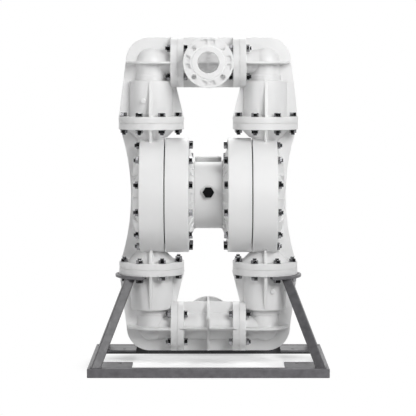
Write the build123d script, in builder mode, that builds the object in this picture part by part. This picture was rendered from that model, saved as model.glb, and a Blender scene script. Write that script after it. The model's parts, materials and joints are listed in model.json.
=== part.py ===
from build123d import *

import os
from math import cos, radians, sin, sqrt

# Air operated double diaphragm pump, three inch, bolted plastic, on a welded square tube stand.
# Millimetres. X runs across the two chambers, -Y faces the outlet side, Z is up.
# The origin is on the floor, under the middle of the pump.

os.makedirs("parts", exist_ok=True)

# Clearances
fit = 0.3
running_fit = 0.05
ring_fit = 0.1

# Centre section, between the two air chambers
center_half = 53.0
hub_r = 128.0
plug_z = 20.0
plug_af = 38.0
plug_head = 12.0
plug_shank_r = 14.0
plug_depth = 24.0
plug_boss_r = 28.5
plug_boss_t = 3.0

# Chamber drums: widths along X, and margins in from the drum's edge
drum_r = 220.0
drum_chamfer = 4.0
diaphragm_t = 4.0
hub_step = 21.0
air_rim_w = 90.0
liquid_rim_w = 94.0
rim_margin = 55.0
chamber_bolt_margin = 20.0
dome_margin = 38.0
back_margin = 36.0
chamber_bolts = 12
chamber_bolt_af = 24.0

# Liquid chambers
dome_rise = 28.0
dome_flat_r = 70.0
dome_ribs = 12
dome_rib_t = 8.0
dome_rib_step = 6.0
liquid_floor_t = 34.0
liquid_cavity_flat_r = 90.0
cavity_bulge = 8.0
chamber_web_t = 12.0
chamber_web_rise = 8.0
chamber_web_margin = 6.0
neck_r = 93.0
neck_rise = 59.0
chamber_fin_sink = 14.0
stop_bar_t = 10.0

# Air chambers
back_wall = 12.0
air_floor_margin = 10.0
back_ribs = 24
back_rib_t = 7.0

# Port flanges, between the chambers and the elbows
port_offset = 53.0
port_flange_r = 125.0
port_flange_t = 25.0
port_bolt_margin = 13.0
port_bolts = 8
port_bolt_af = 24.0
flange_chamfer = 2.0

# Hexagon heads and nuts
head_h = 12.0
nut_h = 14.0

# Pipes and the three inch class 150 pipe flanges
pipe_bore_r = 40.0
pipe_r = 50.0
pipe_flange_r = 95.25
pipe_flange_t = 25.0
pipe_bolt_margin = 19.05
pipe_bolt_hole_r = 9.525
pipe_bolts = 4
pipe_bolt_af = 24.0
branch_reach = 165.0
face_ring_r = 62.0
face_ring_t = 2.0
pocket_inner_r = 69.0
pocket_outer_r = 88.0
pocket_span = 18.0
pocket_offset = 11.0
pocket_depth = 6.0

# Elbows
bell_r = 83.0
bell_h = 160.7
bell_roof = 14.0
collar_r = 62.0
collar_l = 21.3
riser_r = 56.0
riser_l = 7.3
bend_r = 62.0
elbow_run = 38.0
web_t = 10.0
shelf_t = 8.0
fin_t = 12.0
fin_margin = 7.0
web_foot_margin = 1.5
web_outer_reach = 97.0
web_corner_r = 89.0
web_inner_step = 3.0
drain_boss_r = 10.0
drain_boss_x = 28.0
drain_boss_h = 84.0
drain_boss_l = 5.0

# Ball cages inside the elbows
cage_ribs = 4
cage_rib_t = 8.0
cage_stop_r = 20.0
cage_stop_t = 12.0

# Balls and their seats
ball_r = 38.0
ball_lift = 22.0
ball_room = 22.0
seat_bore_r = 32.0
seat_recess = 20.0
seat_ring_t = 4.0
seat_ring_w = 10.0
duct_gap = 5.0
duct_wall = 9.0

# Shaft, bushings and seals
shaft_r = 16.0
bushing_wall = 7.0
bushing_l = 37.0
seal_wall = 6.0
seal_t = 7.0
stroke = 25.0

# Pistons and diaphragms
piston_t = 17.0
piston_hub_r = 34.0
piston_hub_t = 9.0
piston_edge_t = 5.7
crown_x = 13.6
crown_r = 60.0
roll_w = 79.0
roll_margin = 6.0
convolution_depth = 16.0
diaphragm_margin = 32.0

# Pilot valve
pilot_z = 62.0
pilot_r = 7.0
pilot_gap = 0.7
pilot_stroke = 8.0
pilot_groove = 2.0
pilot_hole_clearance = 2.0
sleeve_wall = 6.0

# Centre fasteners, inside the air chambers
center_bolts_per_side = 6
center_bolt_margin = 20.0
center_bolt_af = 19.0
center_bolt_head = 9.0

# Air valve, behind the centre section
pad_step = 4.0
gasket_t = 3.0
valve_half_w = 52.0
valve_depth = 80.0
valve_half_h = 118.0
valve_corner_r = 12.0
spool_r = 24.0
spool_waist_r = 13.0
spool_land = 34.0
spool_stroke = 16.0
cap_t = 20.0
cap_half_d = 33.0
cap_screw_af = 13.0
cap_screw_h = 8.0
cap_screw_margin = 11.0
cap_recess_r = 8.5
air_inlet_r = 12.0
air_inlet_depth = 18.0
air_inlet_z = 62.0
air_inlet_boss_r = 24.0
air_inlet_boss_t = 8.0
muffler_z = -62.0
muffler_neck_r = 14.0
muffler_neck_l = 12.0
muffler_r = 30.0
muffler_l = 58.0
muffler_chamfer = 8.0

# Stand
stand_w = 904.0
stand_d = 580.0
floor_gap = 57.75
tube = 35.0
tube_wall = 3.0
support_t = 10.0
support_lip = 15.0
support_gap = 5.0
support_span = 158.0
slot_clearance = 2.0
leg_inset_x = 31.0
leg_inset_y = 28.0
foot_plate_w = 130.0
foot_plate_d = 123.0
foot_plate_t = 8.0
anchor_inset_x = 83.0
anchor_inset_y = 90.0
anchor_r = 7.0

# Places along X, from the middle outwards
air_rim_x = center_half + hub_step
air_face_x = air_rim_x + air_rim_w
split_x = air_face_x + diaphragm_t / 2
liquid_face_x = split_x + diaphragm_t / 2
liquid_rim_x = liquid_face_x + liquid_rim_w
dome_x = liquid_rim_x + dome_rise
liquid_cavity_x = dome_x - liquid_floor_t
chamber_web_x = dome_x + chamber_web_rise
port_x = split_x + port_offset
manifold_seam_x = port_x - bend_r - elbow_run
hub_floor_x = center_half + back_wall
outer_piston_x = liquid_face_x + fit
inner_piston_x = air_face_x - fit
# The pilot spool's tips stop just short of the inner pistons at the end of the stroke
pilot_reach = inner_piston_x - piston_t - stroke - pilot_stroke - pilot_gap

# Heights, from the shaft outwards and from the floor up
port_reach = drum_r + neck_rise
elbow_rise = bell_h + riser_l + bend_r
manifold_reach = port_reach + elbow_rise
pump_z = floor_gap + pipe_flange_r + manifold_reach
upper_seam_z = pump_z + port_reach
lower_seam_z = pump_z - port_reach
outlet_z = pump_z + manifold_reach
bell_top_z = upper_seam_z + bell_h
neck_foot_z = pump_z + drum_r - drum_chamfer
support_bottom_z = lower_seam_z - port_flange_t - support_t

# Radii that follow from others
chamber_bolt_circle_r = drum_r - chamber_bolt_margin
chamber_cavity_r = drum_r - rim_margin
dome_r = drum_r - dome_margin
back_r = drum_r - back_margin
diaphragm_r = drum_r - diaphragm_margin
piston_r = chamber_cavity_r - roll_w
air_cavity_floor_r = hub_r - air_floor_margin
center_bolt_circle_r = air_cavity_floor_r - center_bolt_margin
port_bolt_circle_r = port_flange_r - port_bolt_margin
pipe_bolt_circle_r = pipe_flange_r - pipe_bolt_margin
bell_cavity_r = ball_r + ball_room
seat_r = bell_cavity_r
seat_ring_inner_r = seat_r - seat_ring_w
duct_r = ball_r + duct_gap
swell_r = duct_r + duct_wall
bushing_r = shaft_r + bushing_wall
seal_r = shaft_r + seal_wall
sleeve_r = pilot_r + sleeve_wall
support_outer_r = port_flange_r + support_lip
support_inner_r = bell_r + support_gap
leg_top_r = (support_outer_r + support_inner_r) / 2
ball_height = sqrt(ball_r**2 - seat_bore_r**2) + fit

# Places along Y
plug_boss_y = hub_r + plug_boss_t
pad_y = hub_r + pad_step
valve_front_y = pad_y + gasket_t
valve_back_y = valve_front_y + valve_depth
spool_y = valve_front_y + cap_half_d
fin_reach = port_flange_r - fin_margin
drain_boss_reach = bell_r + drain_boss_l

shaft_axis = Axis((0, 0, pump_z), (1, 0, 0))
pump_front_axis = Axis((0, 0, pump_z), (0, 1, 0))
pump_upright_axis = Axis((0, 0, pump_z), (0, 0, 1))
left_port_axis = Axis((-port_x, 0, 0), (0, 0, 1))


def radial_plane(angle):
    # A plane through the shaft axis: local x runs along X, local y points out, at an angle from straight up
    turn = radians(angle)
    return Plane(origin=(0, 0, pump_z), x_dir=(1, 0, 0), z_dir=(0, -cos(turn), -sin(turn)))


def across_plane(x, z=pump_z):
    # A plane square to X: local x runs along Y, local y is height above z
    return Plane(origin=(x, 0, z), x_dir=(0, 1, 0), z_dir=(1, 0, 0))


def rear_plane(y, z=pump_z):
    # A plane square to Y that faces the rear: local x runs along -X, local y is height above z
    return Plane(origin=(0, y, z), x_dir=(-1, 0, 0), z_dir=(0, 1, 0))


def front_plane(y, z):
    # A plane square to Y that faces the front: local x runs along X, local y is height above z
    return Plane(origin=(0, y, z), x_dir=(1, 0, 0), z_dir=(0, -1, 0))


def save(part, name):
    part.label = name
    export_step(part, f"parts/{name}.step")


def save_turned(part, axis, name):
    # The same moulding, turned half round
    save(part.rotate(axis, 180), name)


# Elbow: port flange, bell, riser and bend, stiffened by an upright web, a flat shelf and two fins
with BuildPart() as outlet_elbow_left:
    with BuildSketch(Plane.XZ):
        with BuildLine():
            Polyline(
                (-port_x, upper_seam_z),
                (-port_x - port_flange_r + flange_chamfer, upper_seam_z),
                (-port_x - port_flange_r, upper_seam_z + flange_chamfer),
                (-port_x - port_flange_r, upper_seam_z + port_flange_t - flange_chamfer),
                (-port_x - port_flange_r + flange_chamfer, upper_seam_z + port_flange_t),
                (-port_x - bell_r, upper_seam_z + port_flange_t),
                (-port_x - bell_r, bell_top_z - flange_chamfer),
                (-port_x - bell_r + flange_chamfer, bell_top_z),
                (-port_x - collar_r, bell_top_z),
                (-port_x - collar_r, bell_top_z + collar_l),
                (-port_x, bell_top_z + collar_l),
                close=True,
            )
        make_face()
    revolve(axis=left_port_axis)
    with BuildLine(Plane.XZ) as bend_path:
        FilletPolyline(
            (-port_x, bell_top_z),
            (-port_x, outlet_z),
            (-manifold_seam_x, outlet_z),
            radius=bend_r,
        )
    with BuildSketch(Plane.XY.offset(bell_top_z)):
        with Locations((-port_x, 0)):
            Circle(riser_r)
    sweep(path=bend_path.line)
    with BuildSketch(across_plane(-manifold_seam_x, outlet_z)):
        Circle(pipe_flange_r)
    extrude(amount=-pipe_flange_t)
    with BuildSketch(Plane.XZ):
        with BuildLine():
            web_top_z = outlet_z + pipe_flange_r
            web_outer_x = port_x + web_outer_reach
            web_foot_reach = port_flange_r + web_foot_margin
            corner_x = -web_outer_x + web_corner_r
            web_edge = Polyline(
                (corner_x, web_top_z),
                (-manifold_seam_x - pipe_flange_t / 2, web_top_z),
                (-manifold_seam_x - web_inner_step, outlet_z - pipe_flange_r),
                (-port_x + web_foot_reach, upper_seam_z + port_flange_t),
                (-port_x - web_foot_reach, upper_seam_z + port_flange_t),
                (-web_outer_x, web_top_z - web_corner_r),
            )
            RadiusArc(web_edge @ 1, web_edge @ 0, web_corner_r)
        make_face()
    extrude(amount=web_t / 2, both=True)
    with BuildSketch(Plane.XY.offset(outlet_z)):
        with Locations((-port_x, 0)):
            Circle(pipe_flange_r)
        shelf_l = port_x - manifold_seam_x - pipe_flange_t / 2
        with Locations((-port_x + shelf_l / 2, 0)):
            Rectangle(shelf_l, 2 * pipe_flange_r)
    extrude(amount=shelf_t / 2, both=True)
    with BuildSketch(across_plane(-port_x, upper_seam_z)):
        with BuildLine():
            Polyline(
                (-fin_reach, port_flange_t),
                (fin_reach, port_flange_t),
                (bell_r - flange_chamfer, bell_h),
                (-bell_r + flange_chamfer, bell_h),
                close=True,
            )
        make_face()
    extrude(amount=fin_t / 2, both=True)
    with BuildSketch(front_plane(-drain_boss_reach, upper_seam_z)):
        with Locations((-port_x - drain_boss_x, drain_boss_h)):
            Circle(drain_boss_r)
    extrude(amount=-(drain_boss_reach - bell_cavity_r))
    # The ball's room inside the bell, then the bore round the bend
    with BuildSketch(Plane.XY.offset(upper_seam_z)):
        with Locations((-port_x, 0)):
            Circle(bell_cavity_r)
    extrude(amount=bell_h - bell_roof, mode=Mode.SUBTRACT)
    with BuildSketch(Plane.XY.offset(bell_top_z - bell_roof)):
        with Locations((-port_x, 0)):
            Circle(pipe_bore_r)
    extrude(amount=bell_roof, mode=Mode.SUBTRACT)
    with BuildSketch(Plane.XY.offset(bell_top_z)):
        with Locations((-port_x, 0)):
            Circle(pipe_bore_r)
    sweep(path=bend_path.line, mode=Mode.SUBTRACT)
    # Groove for the ring that seals the elbow to the tee
    with BuildSketch(across_plane(-manifold_seam_x, outlet_z)):
        Circle(pipe_bore_r + 2 * seat_ring_t + ring_fit)
        Circle(pipe_bore_r + seat_ring_t - ring_fit, mode=Mode.SUBTRACT)
    extrude(amount=-seat_ring_t, mode=Mode.SUBTRACT)
    # The cage: ribs that guide the ball, under hooks that stop it
    cage_guide_z = upper_seam_z - seat_ring_t + ball_height
    cage_stop_z = cage_guide_z + ball_lift + sqrt(ball_r**2 - cage_stop_r**2) + fit
    with BuildSketch(Plane.XY.offset(cage_guide_z)):
        with Locations((-port_x, 0)):
            with PolarLocations((bell_cavity_r + ball_r) / 2 + fit, cage_ribs, start_angle=45):
                Rectangle(bell_cavity_r - ball_r, cage_rib_t)
    extrude(amount=cage_stop_z - cage_guide_z)
    with BuildSketch(Plane.XY.offset(cage_stop_z)):
        with Locations((-port_x, 0)):
            with PolarLocations((bell_cavity_r + cage_stop_r) / 2, cage_ribs, start_angle=45):
                Rectangle(bell_cavity_r - cage_stop_r, cage_rib_t)
    extrude(amount=cage_stop_t)
save(outlet_elbow_left.part, "outlet_elbow_left")
save_turned(outlet_elbow_left.part, pump_upright_axis, "outlet_elbow_right")
save_turned(outlet_elbow_left.part, shaft_axis, "inlet_elbow_left")
save_turned(outlet_elbow_left.part, pump_front_axis, "inlet_elbow_right")

# Tee: two side flanges and a branch flange, joined by crossed webs round the pipes
with BuildPart() as outlet_tee:
    with BuildSketch(across_plane(-manifold_seam_x, outlet_z)):
        Circle(pipe_r)
    extrude(amount=2 * manifold_seam_x)
    with BuildSketch(front_plane(-branch_reach, outlet_z)):
        Circle(pipe_r)
    extrude(amount=-branch_reach)
    for side in (-1, 1):
        with BuildSketch(across_plane(side * manifold_seam_x, outlet_z)):
            Circle(pipe_flange_r)
        extrude(amount=-side * pipe_flange_t)
    with BuildSketch(front_plane(-branch_reach + face_ring_t, outlet_z)):
        Circle(pipe_flange_r)
    extrude(amount=-pipe_flange_t + face_ring_t)
    with BuildSketch(front_plane(-branch_reach, outlet_z)):
        Circle(face_ring_r)
    extrude(amount=-pipe_flange_t)
    tee_inner_l = 2 * (manifold_seam_x - pipe_flange_t / 2)
    with BuildSketch(Plane.XZ):
        with Locations((0, outlet_z)):
            Rectangle(tee_inner_l, 2 * pipe_flange_r)
    extrude(amount=web_t / 2, both=True)
    with BuildSketch(Plane.XY.offset(outlet_z)):
        Rectangle(tee_inner_l, 2 * pipe_flange_r)
        branch_web_l = branch_reach - pipe_flange_t / 2
        with Locations((0, -branch_web_l / 2)):
            Rectangle(2 * pipe_flange_r, branch_web_l)
    extrude(amount=shelf_t / 2, both=True)
    # The cross web runs out to the branch flange, and is round on the other side
    with BuildSketch(across_plane(0, outlet_z)):
        Circle(pipe_flange_r)
        with Locations((-branch_web_l / 2, 0)):
            Rectangle(branch_web_l, 2 * pipe_flange_r)
    extrude(amount=web_t / 2, both=True)
    with BuildSketch(across_plane(-manifold_seam_x, outlet_z)):
        Circle(pipe_bore_r)
    extrude(amount=2 * manifold_seam_x, mode=Mode.SUBTRACT)
    with BuildSketch(front_plane(-branch_reach, outlet_z)):
        Circle(pipe_bore_r)
    extrude(amount=-branch_reach, mode=Mode.SUBTRACT)
    with BuildSketch(front_plane(-branch_reach, outlet_z)):
        with PolarLocations(pipe_bolt_circle_r, pipe_bolts, start_angle=45):
            Circle(pipe_bolt_hole_r)
    extrude(amount=-pipe_flange_t, mode=Mode.SUBTRACT)
    # Lightening pockets in the branch flange, in pairs between the bolt holes
    with BuildSketch(front_plane(-branch_reach + face_ring_t, outlet_z)):
        for gap in range(pipe_bolts):
            for offset_angle in (-pocket_offset, pocket_offset):
                middle = 360 / pipe_bolts * gap + offset_angle
                with BuildLine():
                    inner = CenterArc((0, 0), pocket_inner_r, middle - pocket_span / 2, pocket_span)
                    outer = CenterArc((0, 0), pocket_outer_r, middle - pocket_span / 2, pocket_span)
                    Line(inner @ 0, outer @ 0)
                    Line(inner @ 1, outer @ 1)
                make_face()
    extrude(amount=-pocket_depth, mode=Mode.SUBTRACT)
save(outlet_tee.part, "outlet_tee")
save_turned(outlet_tee.part, shaft_axis, "inlet_tee")

# Liquid chamber: drum, ribbed dome, two ported necks and a curved web that ties them together
with BuildPart() as liquid_chamber_left:
    with BuildSketch(radial_plane(0)):
        with BuildLine():
            rim = Polyline(
                (-liquid_face_x, 0),
                (-liquid_face_x, drum_r - drum_chamfer),
                (-liquid_face_x - drum_chamfer, drum_r),
                (-liquid_rim_x + drum_chamfer, drum_r),
                (-liquid_rim_x, drum_r - drum_chamfer),
                (-liquid_rim_x, dome_r),
            )
            dome = TangentArc(rim @ 1, (-dome_x, dome_flat_r), tangent=(-1, -1))
            Polyline(dome @ 1, (-dome_x, 0), (-liquid_face_x, 0))
        make_face()
    revolve(axis=shaft_axis)
    with BuildSketch(*[radial_plane(360 * n / dome_ribs) for n in range(dome_ribs)]):
        with BuildLine():
            Polyline(
                (-liquid_rim_x, dome_flat_r),
                (-liquid_rim_x, dome_r),
                (-dome_x + dome_rib_step, dome_r - dome_rib_t),
                (-dome_x, dome_flat_r),
                close=True,
            )
        make_face()
    extrude(amount=dome_rib_t / 2, both=True)
    # Upright web with its long hollow curve on the outboard edge
    with BuildSketch(Plane.XZ):
        flange_inner = port_reach - port_flange_t
        chamber_web_flange_x = port_x + port_flange_r - chamber_web_margin
        with BuildLine():
            edge = ThreePointArc(
                (-chamber_web_flange_x, pump_z + flange_inner),
                (-chamber_web_x, pump_z),
                (-chamber_web_flange_x, pump_z - flange_inner),
            )
            Polyline(
                edge @ 0,
                (-port_x, pump_z + flange_inner),
                (-port_x, pump_z - flange_inner),
                edge @ 1,
            )
        make_face()
    extrude(amount=chamber_web_t / 2, both=True)
    # Upper neck, from the drum out to the port flange
    with BuildSketch(Plane.XZ):
        with BuildLine():
            Polyline(
                (-port_x, pump_z + liquid_cavity_flat_r),
                (-port_x - swell_r, pump_z + liquid_cavity_flat_r),
                (-port_x - swell_r, neck_foot_z),
                (-port_x - neck_r, upper_seam_z - port_flange_t),
                (-port_x - port_flange_r + flange_chamfer, upper_seam_z - port_flange_t),
                (-port_x - port_flange_r, upper_seam_z - port_flange_t + flange_chamfer),
                (-port_x - port_flange_r, upper_seam_z - flange_chamfer),
                (-port_x - port_flange_r + flange_chamfer, upper_seam_z),
                (-port_x, upper_seam_z),
                close=True,
            )
        make_face()
    revolve(axis=left_port_axis)
    with BuildSketch(across_plane(-port_x)):
        fin_foot = drum_r - chamber_fin_sink
        with BuildLine():
            Polyline(
                (-fin_reach, flange_inner),
                (fin_reach, flange_inner),
                (sqrt(drum_r**2 - fin_foot**2), fin_foot),
                (-sqrt(drum_r**2 - fin_foot**2), fin_foot),
                close=True,
            )
        make_face()
    extrude(amount=fin_t / 2, both=True)
    mirror(about=Plane.XY.offset(pump_z))
    # The necks stay clear of the air chamber's rim
    with BuildSketch(across_plane(-liquid_face_x)):
        Circle(drum_r + diaphragm_t)
    extrude(amount=liquid_face_x - air_rim_x, mode=Mode.SUBTRACT)
    # The liquid's room, and a duct with a seat recess at each end
    with BuildSketch(radial_plane(0)):
        with BuildLine():
            floor = Polyline(
                (-liquid_face_x, 0),
                (-liquid_cavity_x, 0),
                (-liquid_cavity_x, liquid_cavity_flat_r),
            )
            room = ThreePointArc(
                floor @ 1,
                (
                    -(liquid_cavity_x + liquid_face_x) / 2 - cavity_bulge,
                    (liquid_cavity_flat_r + chamber_cavity_r) / 2 + cavity_bulge,
                ),
                (-liquid_face_x, chamber_cavity_r),
            )
            Line(room @ 1, floor @ 0)
        make_face()
    revolve(axis=shaft_axis, mode=Mode.SUBTRACT)
    with BuildSketch(Plane.XY.offset(lower_seam_z)):
        with Locations((-port_x, 0)):
            Circle(duct_r)
    extrude(amount=2 * port_reach, mode=Mode.SUBTRACT)
    with BuildSketch(Plane.XY.offset(lower_seam_z), Plane.XY.offset(upper_seam_z - seat_recess)):
        with Locations((-port_x, 0)):
            Circle(seat_r + ring_fit)
    extrude(amount=seat_recess, mode=Mode.SUBTRACT)
    # Bars across the ducts that stop the inlet ball, one at each end of the same moulding
    stop_reach = port_reach - seat_recess - ball_height - ball_lift - ball_r - fit
    with BuildSketch(
        Plane.XY.offset(pump_z - stop_reach), Plane.XY.offset(pump_z + stop_reach - stop_bar_t)
    ):
        with Locations((-port_x, 0)):
            Rectangle(stop_bar_t, 2 * duct_r + duct_wall)
    extrude(amount=stop_bar_t)
save(liquid_chamber_left.part, "liquid_chamber_left")
save_turned(liquid_chamber_left.part, pump_upright_axis, "liquid_chamber_right")

# Air chamber: drum with a ribbed back that bolts to the centre section
with BuildPart() as air_chamber_left:
    with BuildSketch(radial_plane(0)):
        with BuildLine():
            Polyline(
                (-air_face_x, chamber_cavity_r),
                (-air_face_x, drum_r - drum_chamfer),
                (-air_face_x + drum_chamfer, drum_r),
                (-air_rim_x - drum_chamfer, drum_r),
                (-air_rim_x, drum_r - drum_chamfer),
                (-air_rim_x, back_r),
                (-hub_floor_x, hub_r + back_wall),
                (-center_half, hub_r),
                (-center_half, seal_r + ring_fit),
                (-center_half - seal_t, seal_r + ring_fit),
                (-center_half - seal_t, shaft_r + fit),
                (-hub_floor_x, shaft_r + fit),
                (-hub_floor_x, air_cavity_floor_r),
                (-air_face_x + 2 * back_wall, chamber_cavity_r),
                close=True,
            )
        make_face()
    revolve(axis=shaft_axis)
    with BuildSketch(*[radial_plane(360 * (n + 0.5) / back_ribs) for n in range(back_ribs)]):
        with BuildLine():
            Polyline(
                (-center_half, hub_r - back_wall / 2),
                (-center_half, hub_r),
                (-air_rim_x, back_r),
                (-air_rim_x, hub_r - back_wall / 2),
                close=True,
            )
        make_face()
    extrude(amount=back_rib_t / 2, both=True)
    with BuildSketch(across_plane(-center_half)):
        with Locations((0, pilot_z)):
            Circle(pilot_r + pilot_hole_clearance)
    extrude(amount=-3 * back_wall, mode=Mode.SUBTRACT)
save(air_chamber_left.part, "air_chamber_left")
save_turned(air_chamber_left.part, pump_upright_axis, "air_chamber_right")

# Diaphragm: a clamped rim, one rolling convolution and a flat middle between the pistons
with BuildPart() as diaphragm_left:
    half_t = diaphragm_t / 2
    with BuildSketch(radial_plane(0)):
        with BuildLine():
            outer_roll = chamber_cavity_r - roll_margin
            inner_roll = piston_r + roll_margin
            roll_middle = (outer_roll + inner_roll) / 2
            back = Polyline(
                (-split_x + half_t, outer_roll),
                (-split_x + half_t, diaphragm_r),
                (-split_x - half_t, diaphragm_r),
                (-split_x - half_t, outer_roll),
            )
            front_roll = ThreePointArc(
                back @ 1,
                (-split_x + convolution_depth - half_t, roll_middle),
                (-split_x - half_t, inner_roll),
            )
            front = Polyline(
                front_roll @ 1,
                (-split_x - half_t, shaft_r + fit),
                (-split_x + half_t, shaft_r + fit),
                (-split_x + half_t, inner_roll),
            )
            ThreePointArc(
                front @ 1,
                (-split_x + convolution_depth + half_t, roll_middle),
                back @ 0,
            )
        make_face()
    revolve(axis=shaft_axis)
save(diaphragm_left.part, "diaphragm_left")
save_turned(diaphragm_left.part, pump_upright_axis, "diaphragm_right")

# Pistons: the pair of discs that grip each diaphragm on the shaft
with BuildPart() as outer_piston_left:
    with BuildSketch(radial_plane(0)):
        with BuildLine():
            disc = Polyline(
                (-outer_piston_x, shaft_r),
                (-outer_piston_x, piston_r),
                (-outer_piston_x - piston_edge_t, piston_r),
            )
            crown = ThreePointArc(
                disc @ 1,
                (-outer_piston_x - crown_x, crown_r),
                (-outer_piston_x - piston_t, piston_hub_r),
            )
            Polyline(crown @ 1, (-outer_piston_x - piston_t, shaft_r), disc @ 0)
        make_face()
    revolve(axis=shaft_axis)
save(outer_piston_left.part, "outer_piston_left")
save_turned(outer_piston_left.part, pump_upright_axis, "outer_piston_right")

with BuildPart() as inner_piston_left:
    with BuildSketch(radial_plane(0)):
        with BuildLine():
            Polyline(
                (-inner_piston_x, shaft_r),
                (-inner_piston_x, piston_r),
                (-inner_piston_x + piston_t - piston_hub_t, piston_r),
                (-inner_piston_x + piston_t - piston_hub_t, piston_hub_r),
                (-inner_piston_x + piston_t, piston_hub_r),
                (-inner_piston_x + piston_t, shaft_r),
                close=True,
            )
        make_face()
    revolve(axis=shaft_axis)
save(inner_piston_left.part, "inner_piston_left")
save_turned(inner_piston_left.part, pump_upright_axis, "inner_piston_right")

# Shaft: one bar from nut face to nut face, with a wide chamfer at each end
with BuildPart() as diaphragm_shaft:
    shaft_half = outer_piston_x + piston_t + piston_hub_t
    with BuildSketch(across_plane(-shaft_half)):
        Circle(shaft_r)
    extrude(amount=2 * shaft_half)
    chamfer(diaphragm_shaft.edges().filter_by(GeomType.CIRCLE), piston_hub_t / 3)
save(diaphragm_shaft.part, "diaphragm_shaft")

# Centre section: the barrel between the air chambers, with the shaft and pilot bores
with BuildPart() as center_section:
    with BuildSketch(across_plane(-center_half)):
        Circle(hub_r)
    extrude(amount=2 * center_half)
    with BuildSketch(rear_plane(pad_y)):
        Rectangle(2 * valve_half_w, 2 * valve_half_h)
    extrude(amount=-pad_y)
    with BuildSketch(front_plane(-plug_boss_y, pump_z)):
        with Locations((0, plug_z)):
            Circle(plug_boss_r)
    extrude(amount=-plug_boss_y / 2)
    with BuildSketch(front_plane(-plug_boss_y, pump_z)):
        with Locations((0, plug_z)):
            Circle(plug_shank_r + ring_fit)
    extrude(amount=-plug_depth - fit, mode=Mode.SUBTRACT)
    with BuildSketch(across_plane(-center_half)):
        Circle(bushing_r)
        with Locations((0, pilot_z)):
            Circle(sleeve_r)
    extrude(amount=2 * center_half, mode=Mode.SUBTRACT)
save(center_section.part, "center_section")

with BuildPart() as shaft_bushings:
    for side in (-1, 1):
        with BuildSketch(across_plane(side * center_half)):
            Circle(bushing_r)
            Circle(shaft_r + running_fit, mode=Mode.SUBTRACT)
        extrude(amount=-side * bushing_l)
save(shaft_bushings.part, "shaft_bushings")

with BuildPart() as shaft_seals:
    for side in (-1, 1):
        with BuildSketch(across_plane(side * center_half)):
            Circle(seal_r)
            Circle(shaft_r + running_fit, mode=Mode.SUBTRACT)
        extrude(amount=side * seal_t)
save(shaft_seals.part, "shaft_seals")

with BuildPart() as pilot_sleeve:
    with BuildSketch(across_plane(-center_half, pump_z + pilot_z)):
        Circle(sleeve_r)
        Circle(pilot_r + running_fit, mode=Mode.SUBTRACT)
    extrude(amount=2 * center_half)
save(pilot_sleeve.part, "pilot_sleeve")

with BuildPart() as pilot_spool:
    with BuildSketch(across_plane(-pilot_reach, pump_z + pilot_z)):
        Circle(pilot_r)
    extrude(amount=2 * pilot_reach)
    with BuildSketch(across_plane(-pilot_stroke, pump_z + pilot_z)):
        Circle(pilot_r)
        Circle(pilot_r - pilot_groove, mode=Mode.SUBTRACT)
    extrude(amount=2 * pilot_stroke, mode=Mode.SUBTRACT)
save(pilot_spool.part, "pilot_spool")

# Hexagon plug in the front of the centre section
with BuildPart() as center_plug:
    with BuildSketch(front_plane(-plug_boss_y, pump_z + plug_z)):
        RegularPolygon(plug_af / 2, 6, major_radius=False)
    extrude(amount=plug_head)
    with BuildSketch(front_plane(-plug_boss_y, pump_z + plug_z)):
        Circle(plug_shank_r)
    extrude(amount=-plug_depth)
save(center_plug.part, "center_plug")

with BuildPart() as center_bolts:
    for side in (-1, 1):
        with BuildSketch(across_plane(side * hub_floor_x)):
            with PolarLocations(center_bolt_circle_r, center_bolts_per_side):
                RegularPolygon(center_bolt_af / 2, 6, major_radius=False)
        extrude(amount=side * center_bolt_head)
save(center_bolts.part, "center_bolts")

# Air valve: body, gasket, sliding spool, end caps, screws and exhaust muffler
with BuildPart() as air_valve_gasket:
    with BuildSketch(rear_plane(pad_y)):
        Rectangle(2 * valve_half_w, 2 * valve_half_h)
    extrude(amount=gasket_t)
save(air_valve_gasket.part, "air_valve_gasket")

with BuildPart() as air_valve_body:
    with BuildSketch(rear_plane(valve_front_y)):
        Rectangle(2 * valve_half_w, 2 * valve_half_h)
    extrude(amount=valve_depth)
    fillet(air_valve_body.edges().filter_by(Axis.Z).group_by(Axis.Y)[-1], valve_corner_r)
    with BuildSketch(rear_plane(valve_back_y, pump_z + air_inlet_z)):
        Circle(air_inlet_boss_r)
    extrude(amount=air_inlet_boss_t)
    with BuildSketch(rear_plane(valve_back_y + air_inlet_boss_t, pump_z + air_inlet_z)):
        Circle(air_inlet_r)
    extrude(amount=-air_inlet_depth, mode=Mode.SUBTRACT)
    with BuildSketch(Plane.XY.offset(pump_z - valve_half_h)):
        with Locations((0, spool_y)):
            Circle(spool_r + running_fit)
    extrude(amount=2 * valve_half_h, mode=Mode.SUBTRACT)
save(air_valve_body.part, "air_valve_body")

with BuildPart() as air_valve_spool:
    spool_bottom_z = pump_z - valve_half_h + fit
    spool_l = 2 * valve_half_h - spool_stroke - 2 * fit
    with BuildSketch(Plane.XY.offset(spool_bottom_z)):
        with Locations((0, spool_y)):
            Circle(spool_waist_r)
    extrude(amount=spool_l)
    for land_start in (0, (spool_l - spool_land) / 2, spool_l - spool_land):
        with BuildSketch(Plane.XY.offset(spool_bottom_z + land_start)):
            with Locations((0, spool_y)):
                Circle(spool_r)
        extrude(amount=spool_land)
save(air_valve_spool.part, "air_valve_spool")

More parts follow.
